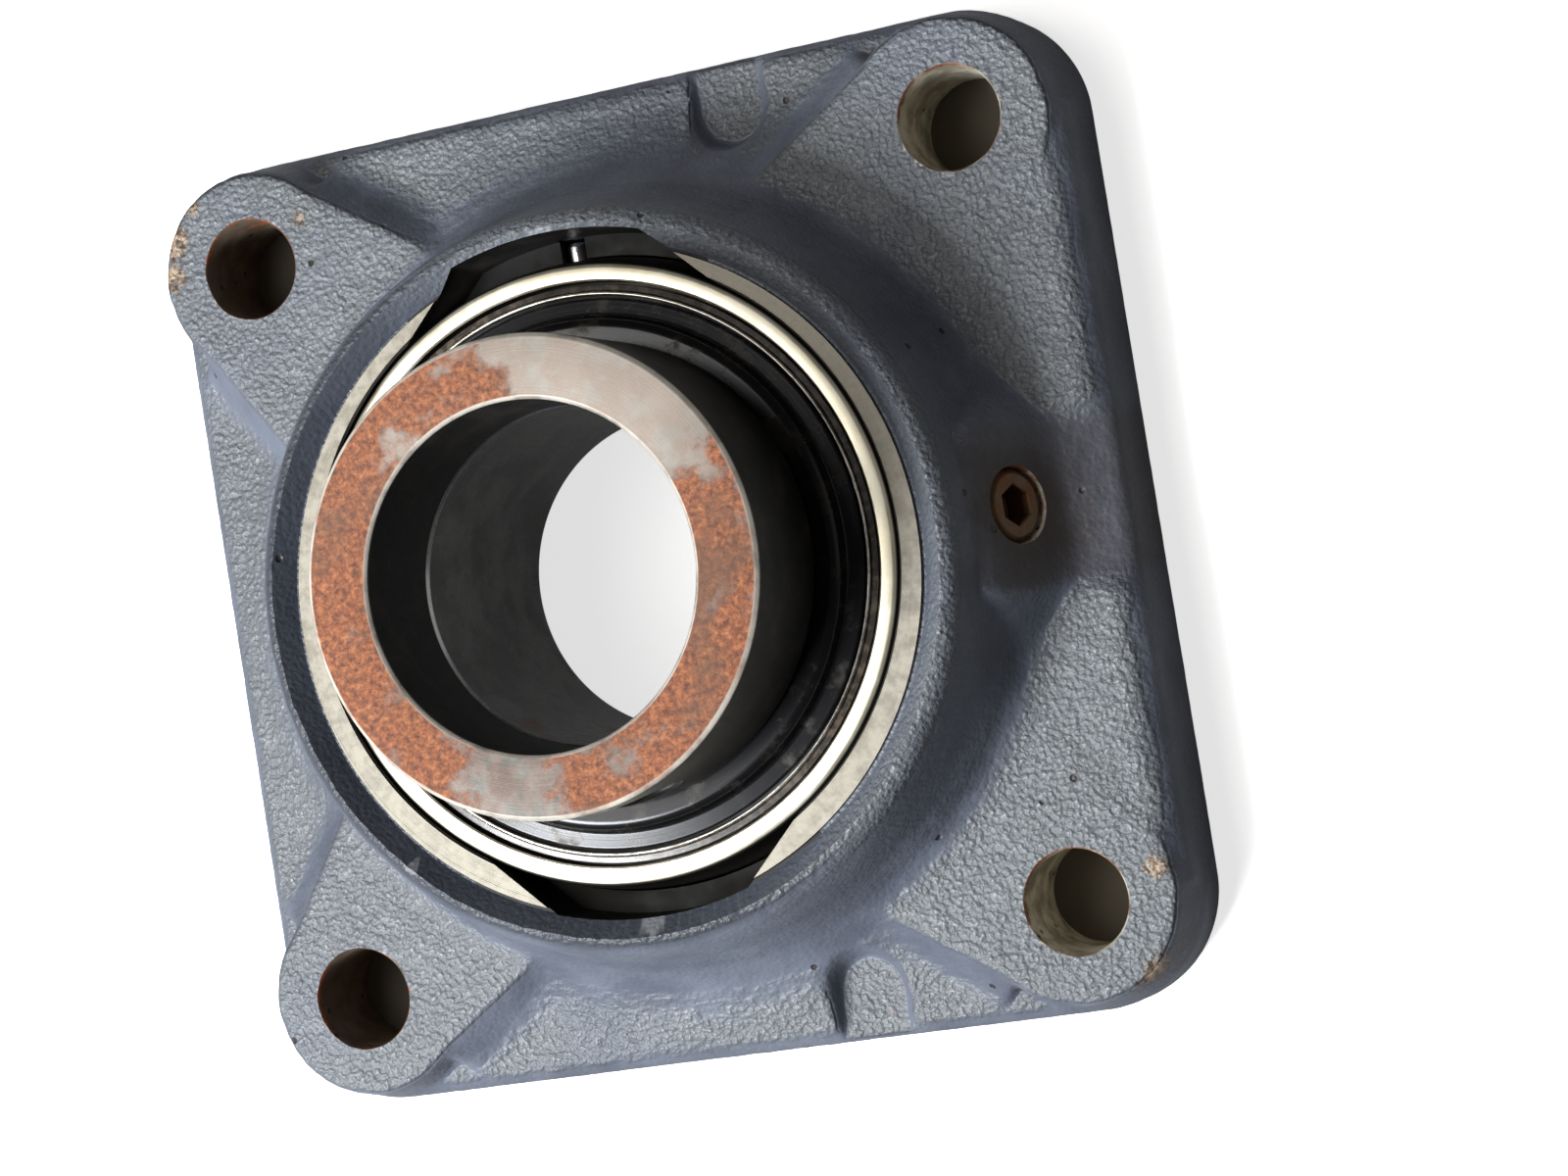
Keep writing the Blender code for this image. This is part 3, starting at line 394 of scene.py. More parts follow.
def hole_cutter(x, y):
    """Drilled bolt hole with a worn edge at both ends."""
    return turned("hole_%d_%d" % (x, y), [
        (0.0, PAD_HEIGHT + 4), (BOLT_HOLE_R + 3.0, PAD_HEIGHT + 3.0), (BOLT_HOLE_R + 0.25, PAD_HEIGHT),
        (BOLT_HOLE_R, PAD_HEIGHT - 0.35), (BOLT_HOLE_R, 0.4), (BOLT_HOLE_R + 2.4, BELOW), (0.0, BELOW)],
        place=(x, y, 0.0), segments=72, closed=False)


def plug_cutter():
    """Tapped hole for the grease plug with its bright chamfer, and the passage behind it."""
    return turned("plug_cutter", [
        (0.0, 4.0), (PLUG_R + 4.5, 4.0), (PLUG_R + 0.55, 0.0), (PLUG_R + 0.25, -0.5), (PLUG_R + 0.25, -8.3),
        (1.8, -8.3), (1.8, -16.0), (0.0, -16.0)], place=PLUG_MOUTH, turn=PLUG_TURN, segments=64,
        closed=False)


floor_cut = block("floor_cut", [(-90, -90), (90, -90), (90, 90), (-90, 90)], -9.0, 0.0)
pin_reach = SPHERE_R + 3.4
pin_way = block("pin_way", [(-PIN_R - 0.3, SPHERE_R - 3), (PIN_R + 0.3, SPHERE_R - 3),
                            (PIN_R + 0.3, pin_reach), (-PIN_R - 0.3, pin_reach)],
                CENTRE_Z - 3.4, SLOT_FLOOR + 1.0)
hole_cutters = [hole_cutter(x, y) for x, y in corner_places()]
machined(casting, [floor_cut, rim_cutter(), seat_cutter(), slot_cutter(1), slot_cutter(-1), pin_way,
                   plug_cutter()] + hole_cutters)
casting.name = "flange_casting"

# Each face of the casting gets the finish of how it was made
PAINTED, FACED, DRILLED, GREASE_AND_SHADE = range(4)


def finish_of_face(face):
    """Which finish a face of the casting has, from where it lies and how it faces."""
    x, y, z = face.center / MM
    radius = math.hypot(x, y)
    if face.normal.z < -0.9 and z < 0.05:
        return FACED
    if any(math.hypot(x - cx, y - cy) < BOLT_HOLE_R + 0.24 for cx, cy in corner_places()):
        return DRILLED
    plug_way = (Vector((x, y, z)) - Vector(PLUG_MOUTH)).cross(PLUG_AXIS).length
    if x > 40 and z > 10 and plug_way < PLUG_R + 1.2 and face.normal.dot(PLUG_AXIS) < 0.86:
        return DRILLED
    if radius < CONE_FOOT_R + 1.0 and abs(z - FACE_Z) < 0.06 and face.normal.z > 0.9:
        return FACED
    if radius < SLOT_R + 0.05 and z < RIM_TOP:
        below_face = radius < SEAT_R + 0.3 or abs(y) > 38
        return GREASE_AND_SHADE if below_face and z < FACE_Z - 0.02 else PAINTED
    return PAINTED


for face in casting.data.polygons:
    face.material_index = finish_of_face(face)
smooth(casting, 38)


def put(tree, kind, values=None, **settings):
    """Add a node, set its properties, then set or link its inputs."""
    made = tree.nodes.new(kind)
    for name, value in settings.items():
        setattr(made, name, value)
    for name, value in (values or {}).items():
        if isinstance(value, bpy.types.NodeSocket):
            tree.links.new(value, made.inputs[name])
        else:
            made.inputs[name].default_value = value
    return made


def sums(tree, operation, a, b=0.0):
    """One arithmetic step between two values."""
    return put(tree, "ShaderNodeMath", {0: a, 1: b}, operation=operation).outputs[0]


def times(tree, a, b):
    """Product of two values."""
    return sums(tree, "MULTIPLY", a, b)


def plus(tree, a, b):
    """Sum of two values."""
    return sums(tree, "ADD", a, b)


def besides(tree, mask):
    """The rest of a mask: 1 where it is 0."""
    return sums(tree, "SUBTRACT", 1.0, mask)


def parts_of(tree, vector):
    """X, Y and Z of a vector."""
    return put(tree, "ShaderNodeSeparateXYZ", {0: vector}).outputs


def span(tree, a, b=None):
    """Length of a vector, or its distance to a point."""
    if b is None:
        return put(tree, "ShaderNodeVectorMath", {0: a}, operation="LENGTH").outputs["Value"]
    return put(tree, "ShaderNodeVectorMath", {0: a, 1: b}, operation="DISTANCE").outputs["Value"]


def feed(shader, name, value):
    """Link a value into a socket of a shader."""
    shader.id_data.links.new(value, shader.inputs[name])


def spread(tree, value, low, high, start=0.0, end=1.0):
    """Smooth step of a value from one range to another."""
    made = put(tree, "ShaderNodeMapRange", {"Value": value, "From Min": low, "From Max": high,
                                            "To Min": start, "To Max": end},
               interpolation_type="SMOOTHSTEP")
    return made.outputs["Result"]


def tint(tree, factor, under, over, way="MIX"):
    """Lay one colour over another by a mask."""
    made = put(tree, "ShaderNodeMix", {0: factor}, data_type="RGBA", blend_type=way)
    for socket, value in ((made.inputs[6], under), (made.inputs[7], over)):
        if isinstance(value, bpy.types.NodeSocket):
            tree.links.new(value, socket)
        else:
            socket.default_value = (*value, 1.0)
    return made.outputs[2]


def grainy(tree, vector, scale, detail=4.0, rough=0.55):
    """Plain noise value at a scale per metre."""
    return put(tree, "ShaderNodeTexNoise", {"Vector": vector, "Scale": scale, "Detail": detail,
                                            "Roughness": rough}).outputs["Fac"]


def new_effect(name, inputs, outputs):
    """An empty shader group with named inputs and outputs."""
    tree = bpy.data.node_groups.new(name, "ShaderNodeTree")
    for label, kind in inputs.items():
        tree.interface.new_socket(label, in_out="INPUT", socket_type=kind)
    for label, kind in outputs.items():
        tree.interface.new_socket(label, in_out="OUTPUT", socket_type=kind)
    return tree, tree.nodes.new("NodeGroupInput").outputs, tree.nodes.new("NodeGroupOutput").inputs


VALUE, VECTOR, COLOUR = "NodeSocketFloat", "NodeSocketVector", "NodeSocketColor"


def make_sand_grain():
    """Lumpy grain left by the sand mould: height, and a light and dark speckle."""
    tree, given, out = new_effect("sand_grain", {"Vector": VECTOR, "Scale": VALUE},
                                  {"Height": VALUE, "Speckle": VALUE})
    cells = put(tree, "ShaderNodeTexVoronoi", {"Vector": given["Vector"], "Scale": given["Scale"],
                                               "Smoothness": 0.5, "Randomness": 1.0}, feature="SMOOTH_F1")
    fine = grainy(tree, given["Vector"], times(tree, given["Scale"], 1.1), 2.0, 0.5)
    broad = grainy(tree, given["Vector"], times(tree, given["Scale"], 0.3), 3.0, 0.5)
    lumps = besides(tree, cells.outputs["Distance"])
    height = plus(tree, times(tree, lumps, 0.7), times(tree, fine, 1.1))
    height = plus(tree, height, times(tree, broad, 0.5))
    tree.links.new(height, out["Height"])
    tree.links.new(spread(tree, height, 1.15, 1.65), out["Speckle"])
    return tree


def make_rust_bloom():
    """Patches of rust: how much, what colour, and how raised."""
    tree, given, out = new_effect("rust_bloom", {"Vector": VECTOR, "Scale": VALUE, "Cover": VALUE},
                                  {"Mask": VALUE, "Colour": COLOUR, "Height": VALUE})
    patches = grainy(tree, given["Vector"], given["Scale"], 7.0, 0.62)
    edge = besides(tree, given["Cover"])
    mask = spread(tree, sums(tree, "SUBTRACT", patches, times(tree, edge, 0.55)), 0.19, 0.29)
    crumbs = grainy(tree, given["Vector"], times(tree, given["Scale"], 14.0), 6.0, 0.75)
    hue = put(tree, "ShaderNodeValToRGB", {"Fac": crumbs})
    steps = ((0.34, (0.045, 0.012, 0.005)), (0.45, (0.145, 0.040, 0.013)), (0.56, (0.27, 0.085, 0.028)),
             (0.70, (0.42, 0.18, 0.075)))
    hue.color_ramp.elements.new(0.5)
    hue.color_ramp.elements.new(0.6)
    for element, (position, colour) in zip(hue.color_ramp.elements, steps):
        element.position = position
        element.color = (*colour, 1.0)
    tree.links.new(mask, out["Mask"])
    tree.links.new(hue.outputs["Color"], out["Colour"])
    tree.links.new(times(tree, mask, crumbs), out["Height"])
    return tree


def make_lathe_lines():
    """Fine rings left by a turning tool: they follow the radius on faces, the height on walls."""
    tree, given, out = new_effect("lathe_lines", {"Vector": VECTOR, "Pitch": VALUE},
                                  {"Height": VALUE, "Tone": VALUE})
    parts = parts_of(tree, given["Vector"])
    flat = put(tree, "ShaderNodeCombineXYZ", {0: parts[0], 1: parts[1]}).outputs[0]
    radius = span(tree, flat)
    run = plus(tree, radius, parts[2])
    rings = put(tree, "ShaderNodeTexNoise", {"W": sums(tree, "DIVIDE", run, given["Pitch"]), "Scale": 1.0,
                                             "Detail": 4.0, "Roughness": 0.7}, noise_dimensions="1D")
    tree.links.new(rings.outputs["Fac"], out["Height"])
    tree.links.new(spread(tree, rings.outputs["Fac"], 0.3, 0.7), out["Tone"])
    return tree


def make_pits():
    """Scattered small pits and blowholes."""
    tree, given, out = new_effect("pits", {"Vector": VECTOR, "Scale": VALUE, "Share": VALUE},
                                  {"Mask": VALUE})
    cells = put(tree, "ShaderNodeTexVoronoi", {"Vector": given["Vector"], "Scale": given["Scale"]})
    pick = put(tree, "ShaderNodeSeparateColor", {0: cells.outputs["Color"]}).outputs[0]
    chosen = sums(tree, "LESS_THAN", pick, given["Share"])
    spot = spread(tree, cells.outputs["Distance"], 0.26, 0.12)
    tree.links.new(times(tree, chosen, spot), out["Mask"])
    return tree


EFFECTS = {"sand_grain": make_sand_grain(), "rust_bloom": make_rust_bloom(),
           "lathe_lines": make_lathe_lines(), "pits": make_pits()}


def effect(tree, name, values):
    """Place a shared effect in a material."""
    made = tree.nodes.new("ShaderNodeGroup")
    made.node_tree = EFFECTS[name]
    for label, value in values.items():
        if isinstance(value, bpy.types.NodeSocket):
            tree.links.new(value, made.inputs[label])
        else:
            made.inputs[label].default_value = value
    return made.outputs


def new_finish(name, centre=(0.0, 0.0, 0.0)):
    """An empty material, its shader, and object coordinates about a centre in millimetres."""
    made = bpy.data.materials.new(name)
    made.use_nodes = True
    tree = made.node_tree
    place = put(tree, "ShaderNodeTexCoord").outputs["Object"]
    shift = put(tree, "ShaderNodeMapping", {"Vector": place, "Location": [-c * MM for c in centre]})
    return made, tree, tree.nodes["Principled BSDF"], shift.outputs["Vector"]


def relief(tree, shader, height, strength, depth):
    """Raise the surface by a height, at most by a depth in millimetres."""
    bump = put(tree, "ShaderNodeBump", {"Height": height, "Strength": strength, "Distance": depth * MM})
    feed(shader, "Normal", bump.outputs["Normal"])


def facing_up(tree):
    """How far the surface faces the front of the bearing: 1 on flat tops, 0 on walls."""
    normal = put(tree, "ShaderNodeTexCoord").outputs["Normal"]
    return parts_of(tree, normal)[2]


# Where the paint is knocked off the pads and the left edge: place, size
CHIPPED_SPOTS = [((63.5, -49.3, 16.0), 1.9), ((62.5, -64.0, 14.5), 3.6), ((60.0, -66.0, 14.5), 2.4),
                 ((-64.8, 53.5, 15.5), 2.4), ((-64.0, 58.5, 15.0), 3.0), ((-60.5, 63.0, 15.5), 2.0),
                 ((-43.5, 58.0, 16.0), 1.1), ((-68.3, -14.0, 7.0), 1.8), ((-68.3, 6.0, 6.0), 1.5)]


def painted_iron():
    """Slate blue paint over cast iron, rubbed to grey on the tops, with rust specks.
    The rim has painted light on its side towards the main light and painted shade inside it
    on the other side; the ramp has painted shade.
    """
    made, tree, shader, place = new_finish("slate_painted_casting")
    grain = effect(tree, "sand_grain", {"Vector": place, "Scale": 1300.0})
    parts = parts_of(tree, place)
    on_ramp = times(tree, spread(tree, parts[0], 0.046, 0.056),
                    spread(tree, sums(tree, "ABSOLUTE", parts[1]), 0.0125, 0.0090))
    shifted = sums(tree, "SUBTRACT", parts[1], CAST_SHIFT * MM)
    ground = put(tree, "ShaderNodeCombineXYZ", {0: parts[0], 1: shifted})
    radius = span(tree, ground.outputs[0])
    rim_painted_light = times(tree, spread(tree, radius, 0.0504, 0.0488),
                   spread(tree, parts[2], (FACE_Z - 0.8) * MM, (FACE_Z + 0.4) * MM))
    lit_side = spread(tree, plus(tree, parts[0], times(tree, parts[1], 0.5)), -0.012, 0.020)
    # Painted light: on its side towards the main light the rim takes the lighter rubbed grey of the flat
    # tops.
    rim_painted_light = times(tree, rim_painted_light, times(tree, lit_side, 0.75))
    flat = sums(tree, "MAXIMUM", spread(tree, facing_up(tree), 0.72, 0.97), rim_painted_light)
    flat = times(tree, flat, besides(tree, on_ramp))
    cloud = grainy(tree, place, 60.0, 5.0, 0.6)
    paint = tint(tree, spread(tree, cloud, 0.35, 0.65), (0.074, 0.084, 0.112), (0.120, 0.135, 0.172))
    rubbed = tint(tree, grain["Speckle"], (0.100, 0.108, 0.116), (0.200, 0.212, 0.222))
    wear = times(tree, flat, spread(tree, grainy(tree, place, 35.0, 4.0), 0.30, 0.55, 0.45, 0.95))
    colour = tint(tree, wear, paint, rubbed)
    # Painted shade: inside the rim, on the side away from the main light, the paint is darkened to deep navy.
    rim_painted_shade = spread(tree, radius, 0.0494, 0.0478)
    rim_painted_shade = times(tree, rim_painted_shade, besides(tree, lit_side))
    colour = tint(tree, times(tree, rim_painted_shade, 0.75), colour, (0.022, 0.026, 0.036))
    edges = spread(tree, put(tree, "ShaderNodeNewGeometry").outputs["Pointiness"], 0.52, 0.60)
    colour = tint(tree, times(tree, edges, 0.55), colour, (0.27, 0.28, 0.30))
    specks = effect(tree, "pits", {"Vector": place, "Scale": 420.0, "Share": 0.02})["Mask"]
    rust = effect(tree, "rust_bloom", {"Vector": place, "Scale": 300.0, "Cover": 0.085})
    colour = tint(tree, times(tree, rust["Mask"], 0.75), colour, rust["Colour"])
    colour = tint(tree, specks, colour, (0.020, 0.014, 0.010))
    for spot, size in CHIPPED_SPOTS:
        away = span(tree, place, [c * MM for c in spot])
        crumbs = grainy(tree, place, 900.0, 5.0, 0.7)
        inside = plus(tree, away, times(tree, sums(tree, "SUBTRACT", crumbs, 0.5), 0.008))
        chipped = spread(tree, inside, size * MM, (size - 0.8) * MM, 0.0, 0.85)
        bare = tint(tree, spread(tree, crumbs, 0.42, 0.58), (0.055, 0.030, 0.016), (0.42, 0.30, 0.19))
        colour = tint(tree, chipped, colour, bare)
    # Painted shade: the ramp is darkened, as it faces away from the main light.
    colour = tint(tree, times(tree, on_ramp, 0.6), colour, (0.050, 0.045, 0.045))
    from_plug = span(tree, place, [c * MM for c in PLUG_MOUTH])
    ragged = plus(tree, from_plug, times(tree, sums(tree, "SUBTRACT", cloud, 0.5), 0.012))
    stain = spread(tree, ragged, 0.0125, 0.006, 0.0, 0.9)
    colour = tint(tree, stain, colour, (0.034, 0.022, 0.016))
    feed(shader, "Base Color", colour)
    feed(shader, "Roughness", spread(tree, grain["Speckle"], 0.0, 1.0, 0.52, 0.38))
    rough = plus(tree, times(tree, flat, 0.75), 0.25)
    height = sums(tree, "SUBTRACT", times(tree, grain["Height"], rough), times(tree, specks, 0.8))
    relief(tree, shader, height, 0.85, 0.42)
    return made


def faced_iron():
    """Machined iron left bare: beige grey, mottled, with faint tool rings."""
    made, tree, shader, place = new_finish("faced_iron")
    lines = effect(tree, "lathe_lines", {"Vector": place, "Pitch": 0.00022})
    mottle = grainy(tree, place, 420.0, 6.0, 0.65)
    colour = tint(tree, spread(tree, mottle, 0.36, 0.64), (0.150, 0.135, 0.105), (0.290, 0.265, 0.215))
    colour = tint(tree, times(tree, lines["Tone"], 0.2), colour, (0.36, 0.33, 0.27))
    rust = effect(tree, "rust_bloom", {"Vector": place, "Scale": 70.0, "Cover": 0.10})
    colour = tint(tree, times(tree, rust["Mask"], 0.6), colour, rust["Colour"])
    feed(shader, "Base Color", colour)
    shader.inputs["Metallic"].default_value = 0.35
    feed(shader, "Roughness", spread(tree, mottle, 0.3, 0.7, 0.40, 0.58))
    relief(tree, shader, plus(tree, lines["Height"], mottle), 0.5, 0.05)
    return made


def drilled_iron():
    """Walls of the drilled holes: bare beige iron, with painted shade in the holes on the left, pits and
    rust.
    """
    made, tree, shader, place = new_finish("drilled_iron")
    height = parts_of(tree, place)[2]
    rim = spread(tree, height, (PAD_HEIGHT - 2.2) * MM, PAD_HEIGHT * MM)
    cover = plus(tree, times(tree, rim, 0.35), 0.20)
    rust = effect(tree, "rust_bloom", {"Vector": place, "Scale": 230.0, "Cover": cover})
    pits = effect(tree, "pits", {"Vector": place, "Scale": 520.0, "Share": 0.16})["Mask"]
    cloud = grainy(tree, place, 260.0, 5.0)
    colour = tint(tree, spread(tree, cloud, 0.35, 0.65), (0.22, 0.195, 0.145), (0.52, 0.48, 0.385))
    # Painted shade: the walls of the holes on the left half are darkened to deep brown.
    left = spread(tree, parts_of(tree, place)[0], 0.01, -0.01, 0.0, 0.9)
    browned = tint(tree, cloud, (0.018, 0.010, 0.006), (0.105, 0.060, 0.034))
    colour = tint(tree, left, colour, browned)
    colour = tint(tree, times(tree, rust["Mask"], 0.85), colour, rust["Colour"])
    colour = tint(tree, pits, colour, (0.012, 0.010, 0.008))
    feed(shader, "Base Color", colour)
    shader.inputs["Metallic"].default_value = 0.15
    shader.inputs["Roughness"].default_value = 0.55
    relief(tree, shader, sums(tree, "SUBTRACT", cloud, pits), 0.8, 0.15)
    return made


def grease_and_shade_iron():
    """Seat and slots of the casting, near black: old grease, and painted shade of the deep slots."""
    made, tree, shader, place = new_finish("grease_and_shade_iron")
    smear = grainy(tree, place, 160.0, 5.0)
    # Near black: old grease, darkened further as painted shade in the deep seat and slots.
    colour = tint(tree, spread(tree, smear, 0.40, 0.70), (0.005, 0.005, 0.005), (0.022, 0.018, 0.014))
    feed(shader, "Base Color", colour)
    feed(shader, "Roughness", spread(tree, smear, 0.3, 0.7, 0.42, 0.7))
    shader.inputs["Specular IOR Level"].default_value = 0.25
    relief(tree, shader, smear, 0.4, 0.1)
    return made


for finish in (painted_iron(), faced_iron(), drilled_iron(), grease_and_shade_iron()):
    casting.data.materials.append(finish)
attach(casting, "housing_body")
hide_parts("housing")

# ---- Grease plug -------------------------------------------------------------------------
# A headless steel taper plug screwed into the ramp, browned with rust, with a hex socket.

PLUG_LENGTH = 7.0
PLUG_HEX = 4.76
SOCKET_DEPTH = 4.0


def hex_cutter(name, across, depth, place, turn):
    """Six-sided socket with a small lead-in, sunk from a mouth along an axis."""
    radius = across / 2 / math.cos(math.pi / 6)
    return turned(name, [(0.0, 1.0), (radius + 1.2, 1.0), (radius, -0.2), (radius, -depth),
                         (0.0, -depth - 0.8)], place=place, turn=turn, segments=6, closed=False)


plug_place = Vector(PLUG_MOUTH) - PLUG_AXIS * PLUG_SUNK
plug = turned("threaded_grease_plug", softened([
    (0.0, 0.0), (PLUG_R - 0.75, 0.0), (PLUG_R - 0.05, -0.7), (PLUG_R - 0.05, -PLUG_LENGTH + 0.5),
    (PLUG_R - 0.5, -PLUG_LENGTH), (0.0, -PLUG_LENGTH)], 0.18), place=plug_place, turn=PLUG_TURN,
    segments=72, closed=False)
machined(plug, [hex_cutter("plug_socket", PLUG_HEX, SOCKET_DEPTH, plug_place, PLUG_TURN)])
smooth(plug, 35)


def browned_steel():
    """Old plug steel: bronze brown, with rust."""
    made, tree, shader, place = new_finish("browned_plug_steel", plug_place)
    rust = effect(tree, "rust_bloom", {"Vector": place, "Scale": 300.0, "Cover": 0.55})
    cloud = grainy(tree, place, 500.0, 4.0)
    colour = tint(tree, cloud, (0.060, 0.038, 0.020), (0.20, 0.125, 0.06))
    colour = tint(tree, times(tree, rust["Mask"], 0.45), colour, rust["Colour"])
    feed(shader, "Base Color", colour)
    shader.inputs["Metallic"].default_value = 0.6
    feed(shader, "Roughness", spread(tree, cloud, 0.3, 0.7, 0.35, 0.6))
    relief(tree, shader, plus(tree, cloud, rust["Height"]), 0.6, 0.08)
    return made


plug.data.materials.append(browned_steel())
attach(plug, "housing_body")
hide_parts("grease_plug")

# ---- Outer ring --------------------------------------------------------------------------
# Through-hardened ring, its outside ground to a sphere and blacked, its side faces ground
# bright. The raceway runs inside; the pin hole and the grease hole are drilled from outside.

PITCH_R = JOINTS["ball_1_spin"]["pos_m"][0] / MM
BALL_R = 6.35
RACE_R = BALL_R + 0.25
LAND_OUT = PITCH_R + 4.1
LAND_IN = PITCH_R - 4.1
SEAL_Z = 8.3
SEAL_SEAT_R = LAND_OUT + 2.1
RING_HALF = RING_FACE - CENTRE_Z
BORE_R = 22.225
OIL_HOLE_R = 1.3


def arc(centre_r, centre_z, radius, start, stop, steps):
    """Points on an arc of a profile, angles in degrees from straight outwards."""
    angles = [math.radians(start + (stop - start) * i / steps) for i in range(steps + 1)]
    return [(centre_r + radius * math.cos(a), centre_z + radius * math.sin(a)) for a in angles]


corner = math.degrees(math.asin((RING_HALF - 0.45) / SPHERE_R))
land = math.degrees(math.asin(4.1 / RACE_R))
face_r = math.sqrt(SPHERE_R ** 2 - RING_HALF ** 2) - 0.5
ring_profile = [(face_r - 0.15, RING_HALF), (face_r + 0.1, RING_HALF - 0.1)]
ring_profile += arc(0.0, 0.0, SPHERE_R, corner, -corner, 28)
ring_profile += [(face_r + 0.1, 0.1 - RING_HALF), (face_r - 0.15, -RING_HALF),
                 (SEAL_SEAT_R + 0.25, -RING_HALF), (SEAL_SEAT_R, 0.25 - RING_HALF),
                 (SEAL_SEAT_R, 0.3 - SEAL_Z), (LAND_OUT, 0.3 - SEAL_Z)]
ring_profile += arc(PITCH_R, 0.0, RACE_R, land - 90, 90 - land, 16)
ring_profile += [(LAND_OUT, SEAL_Z - 0.3), (SEAL_SEAT_R, SEAL_Z - 0.3), (SEAL_SEAT_R, RING_HALF - 0.25),
                 (SEAL_SEAT_R + 0.25, RING_HALF)]
outer_ring = turned("spherical_outer_ring", ring_profile, place=(0.0, 0.0, CENTRE_Z))
along_y = Matrix.Rotation(-math.pi / 2, 4, "X")
along_x = Matrix.Rotation(math.pi / 2, 4, "Y")
outside, pin_floor, oil_floor = SPHERE_R + 2, SPHERE_R - 2.7, LAND_OUT - 2
pin_hole = turned("pin_hole", [
    (0, outside), (PIN_R + 0.25, outside), (PIN_R + 0.25, pin_floor), (0, pin_floor)],
    place=(0, 0, CENTRE_Z), turn=along_y, segments=32, closed=False)
oil_hole = turned("oil_hole", [
    (0, outside), (OIL_HOLE_R, outside), (OIL_HOLE_R, oil_floor), (0, oil_floor)],
    place=(0, 0, (GROOVE_LOW + GROOVE_HIGH) / 2), turn=along_x, segments=24, closed=False)
machined(outer_ring, [pin_hole, oil_hole])
smooth(outer_ring, 30)


def ground_steel(name, dark, bright, low, high, centre=(0.0, 0.0, CENTRE_Z)):
    """Ground bearing steel with fine rings; roughness between two values."""
    made, tree, shader, place = new_finish(name, centre)
    lines = effect(tree, "lathe_lines", {"Vector": place, "Pitch": 0.00012})
    cloud = grainy(tree, place, 130.0, 5.0, 0.6)
    colour = tint(tree, spread(tree, cloud, 0.36, 0.62), dark, bright)
    feed(shader, "Base Color", colour)
    shader.inputs["Metallic"].default_value = 1.0
    smear = plus(tree, cloud, times(tree, lines["Tone"], 0.3))
    feed(shader, "Roughness", spread(tree, smear, 0.35, 0.95, low, high))
    relief(tree, shader, lines["Height"], 0.25, 0.02)
    return made, tree, shader, place, colour


def outer_ring_steel():
    """Side faces ground bright, the spherical outside blacked."""
    made, tree, shader, place, colour = ground_steel("outer_ring_steel", (0.86, 0.79, 0.60),
                                                     (0.98, 0.93, 0.76), 0.34, 0.52)
    parts = parts_of(tree, place)
    height = sums(tree, "ABSOLUTE", parts[2])
    inner = spread(tree, height, (RING_HALF - 0.35) * MM, (RING_HALF - 0.15) * MM)
    colour = tint(tree, inner, (0.035, 0.033, 0.030), colour)
    feed(shader, "Base Color", colour)
    return made


outer_ring.data.materials.append(outer_ring_steel())
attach(outer_ring, "outer_body")
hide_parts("outer_ring")

# ---- Anti-rotation pin -------------------------------------------------------------------
# A short hardened dowel in the outer ring. Its bright domed end stands in the groove under
# the upper slot and keeps the ring from turning.

pin = turned("anti_turn_dowel", softened([
    (0.0, SPHERE_R + 2.78), (PIN_R - 0.35, SPHERE_R + 2.75), (PIN_R - 0.02, SPHERE_R + 2.3),
    (PIN_R - 0.02, SPHERE_R - 2.1), (PIN_R - 0.3, SPHERE_R - 2.4), (0.0, SPHERE_R - 2.4)], 0.15),
    place=(0.0, 0.0, CENTRE_Z), turn=along_y, segments=48, closed=False)
smooth(pin, 40)
pin.data.materials.append(ground_steel("dowel_steel", (0.62, 0.61, 0.60), (0.88, 0.87, 0.85), 0.15, 0.3)[0])
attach(pin, "pin_body")
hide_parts("anti_rotation_pin")

# ---- Inner ring --------------------------------------------------------------------------
# The wide ring the shaft passes through: satin bore, raceway outside, an eccentric end in
# front for the collar and a long plain nose behind. A rust stain lies low in its bore.

THROWER_TOP = 12.7
REAR_END = CENTRE_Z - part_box("inner_ring")[0].z / MM
FRONT_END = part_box("inner_ring")[1].z / MM - CENTRE_Z
NOSE_R = 27.2
CAM_OFFSET = 1.4
CAM_R = 25.7
step_z = SEAL_Z + 1.0 + 0.15
core_r = NOSE_R - 3.2
inner_profile = [(BORE_R + 0.5, FRONT_END), (core_r, FRONT_END), (core_r, THROWER_TOP),
                 (NOSE_R, THROWER_TOP), (NOSE_R, step_z), (LAND_IN, step_z)]
inner_profile += arc(PITCH_R, 0.0, RACE_R, 90 + land, 270 - land, 16)
inner_profile += [(LAND_IN, -step_z), (NOSE_R, -step_z), (NOSE_R, 0.5 - REAR_END), (NOSE_R - 0.5, -REAR_END),
                  (BORE_R + 0.6, -REAR_END), (BORE_R, 0.6 - REAR_END), (BORE_R, FRONT_END - 0.5)]
inner_ring = turned("wide_inner_ring", inner_profile, place=(0.0, 0.0, CENTRE_Z))
cam = turned("cam", [(BORE_R + 2.2, FRONT_END), (CAM_R - 0.4, FRONT_END), (CAM_R, FRONT_END - 0.4),
                     (CAM_R, THROWER_TOP - 1.0), (BORE_R + 2.2, THROWER_TOP - 1.0)],
             place=(CAM_OFFSET, 0.0, CENTRE_Z))
machined(inner_ring, [cam], "UNION")
smooth(inner_ring, 30)


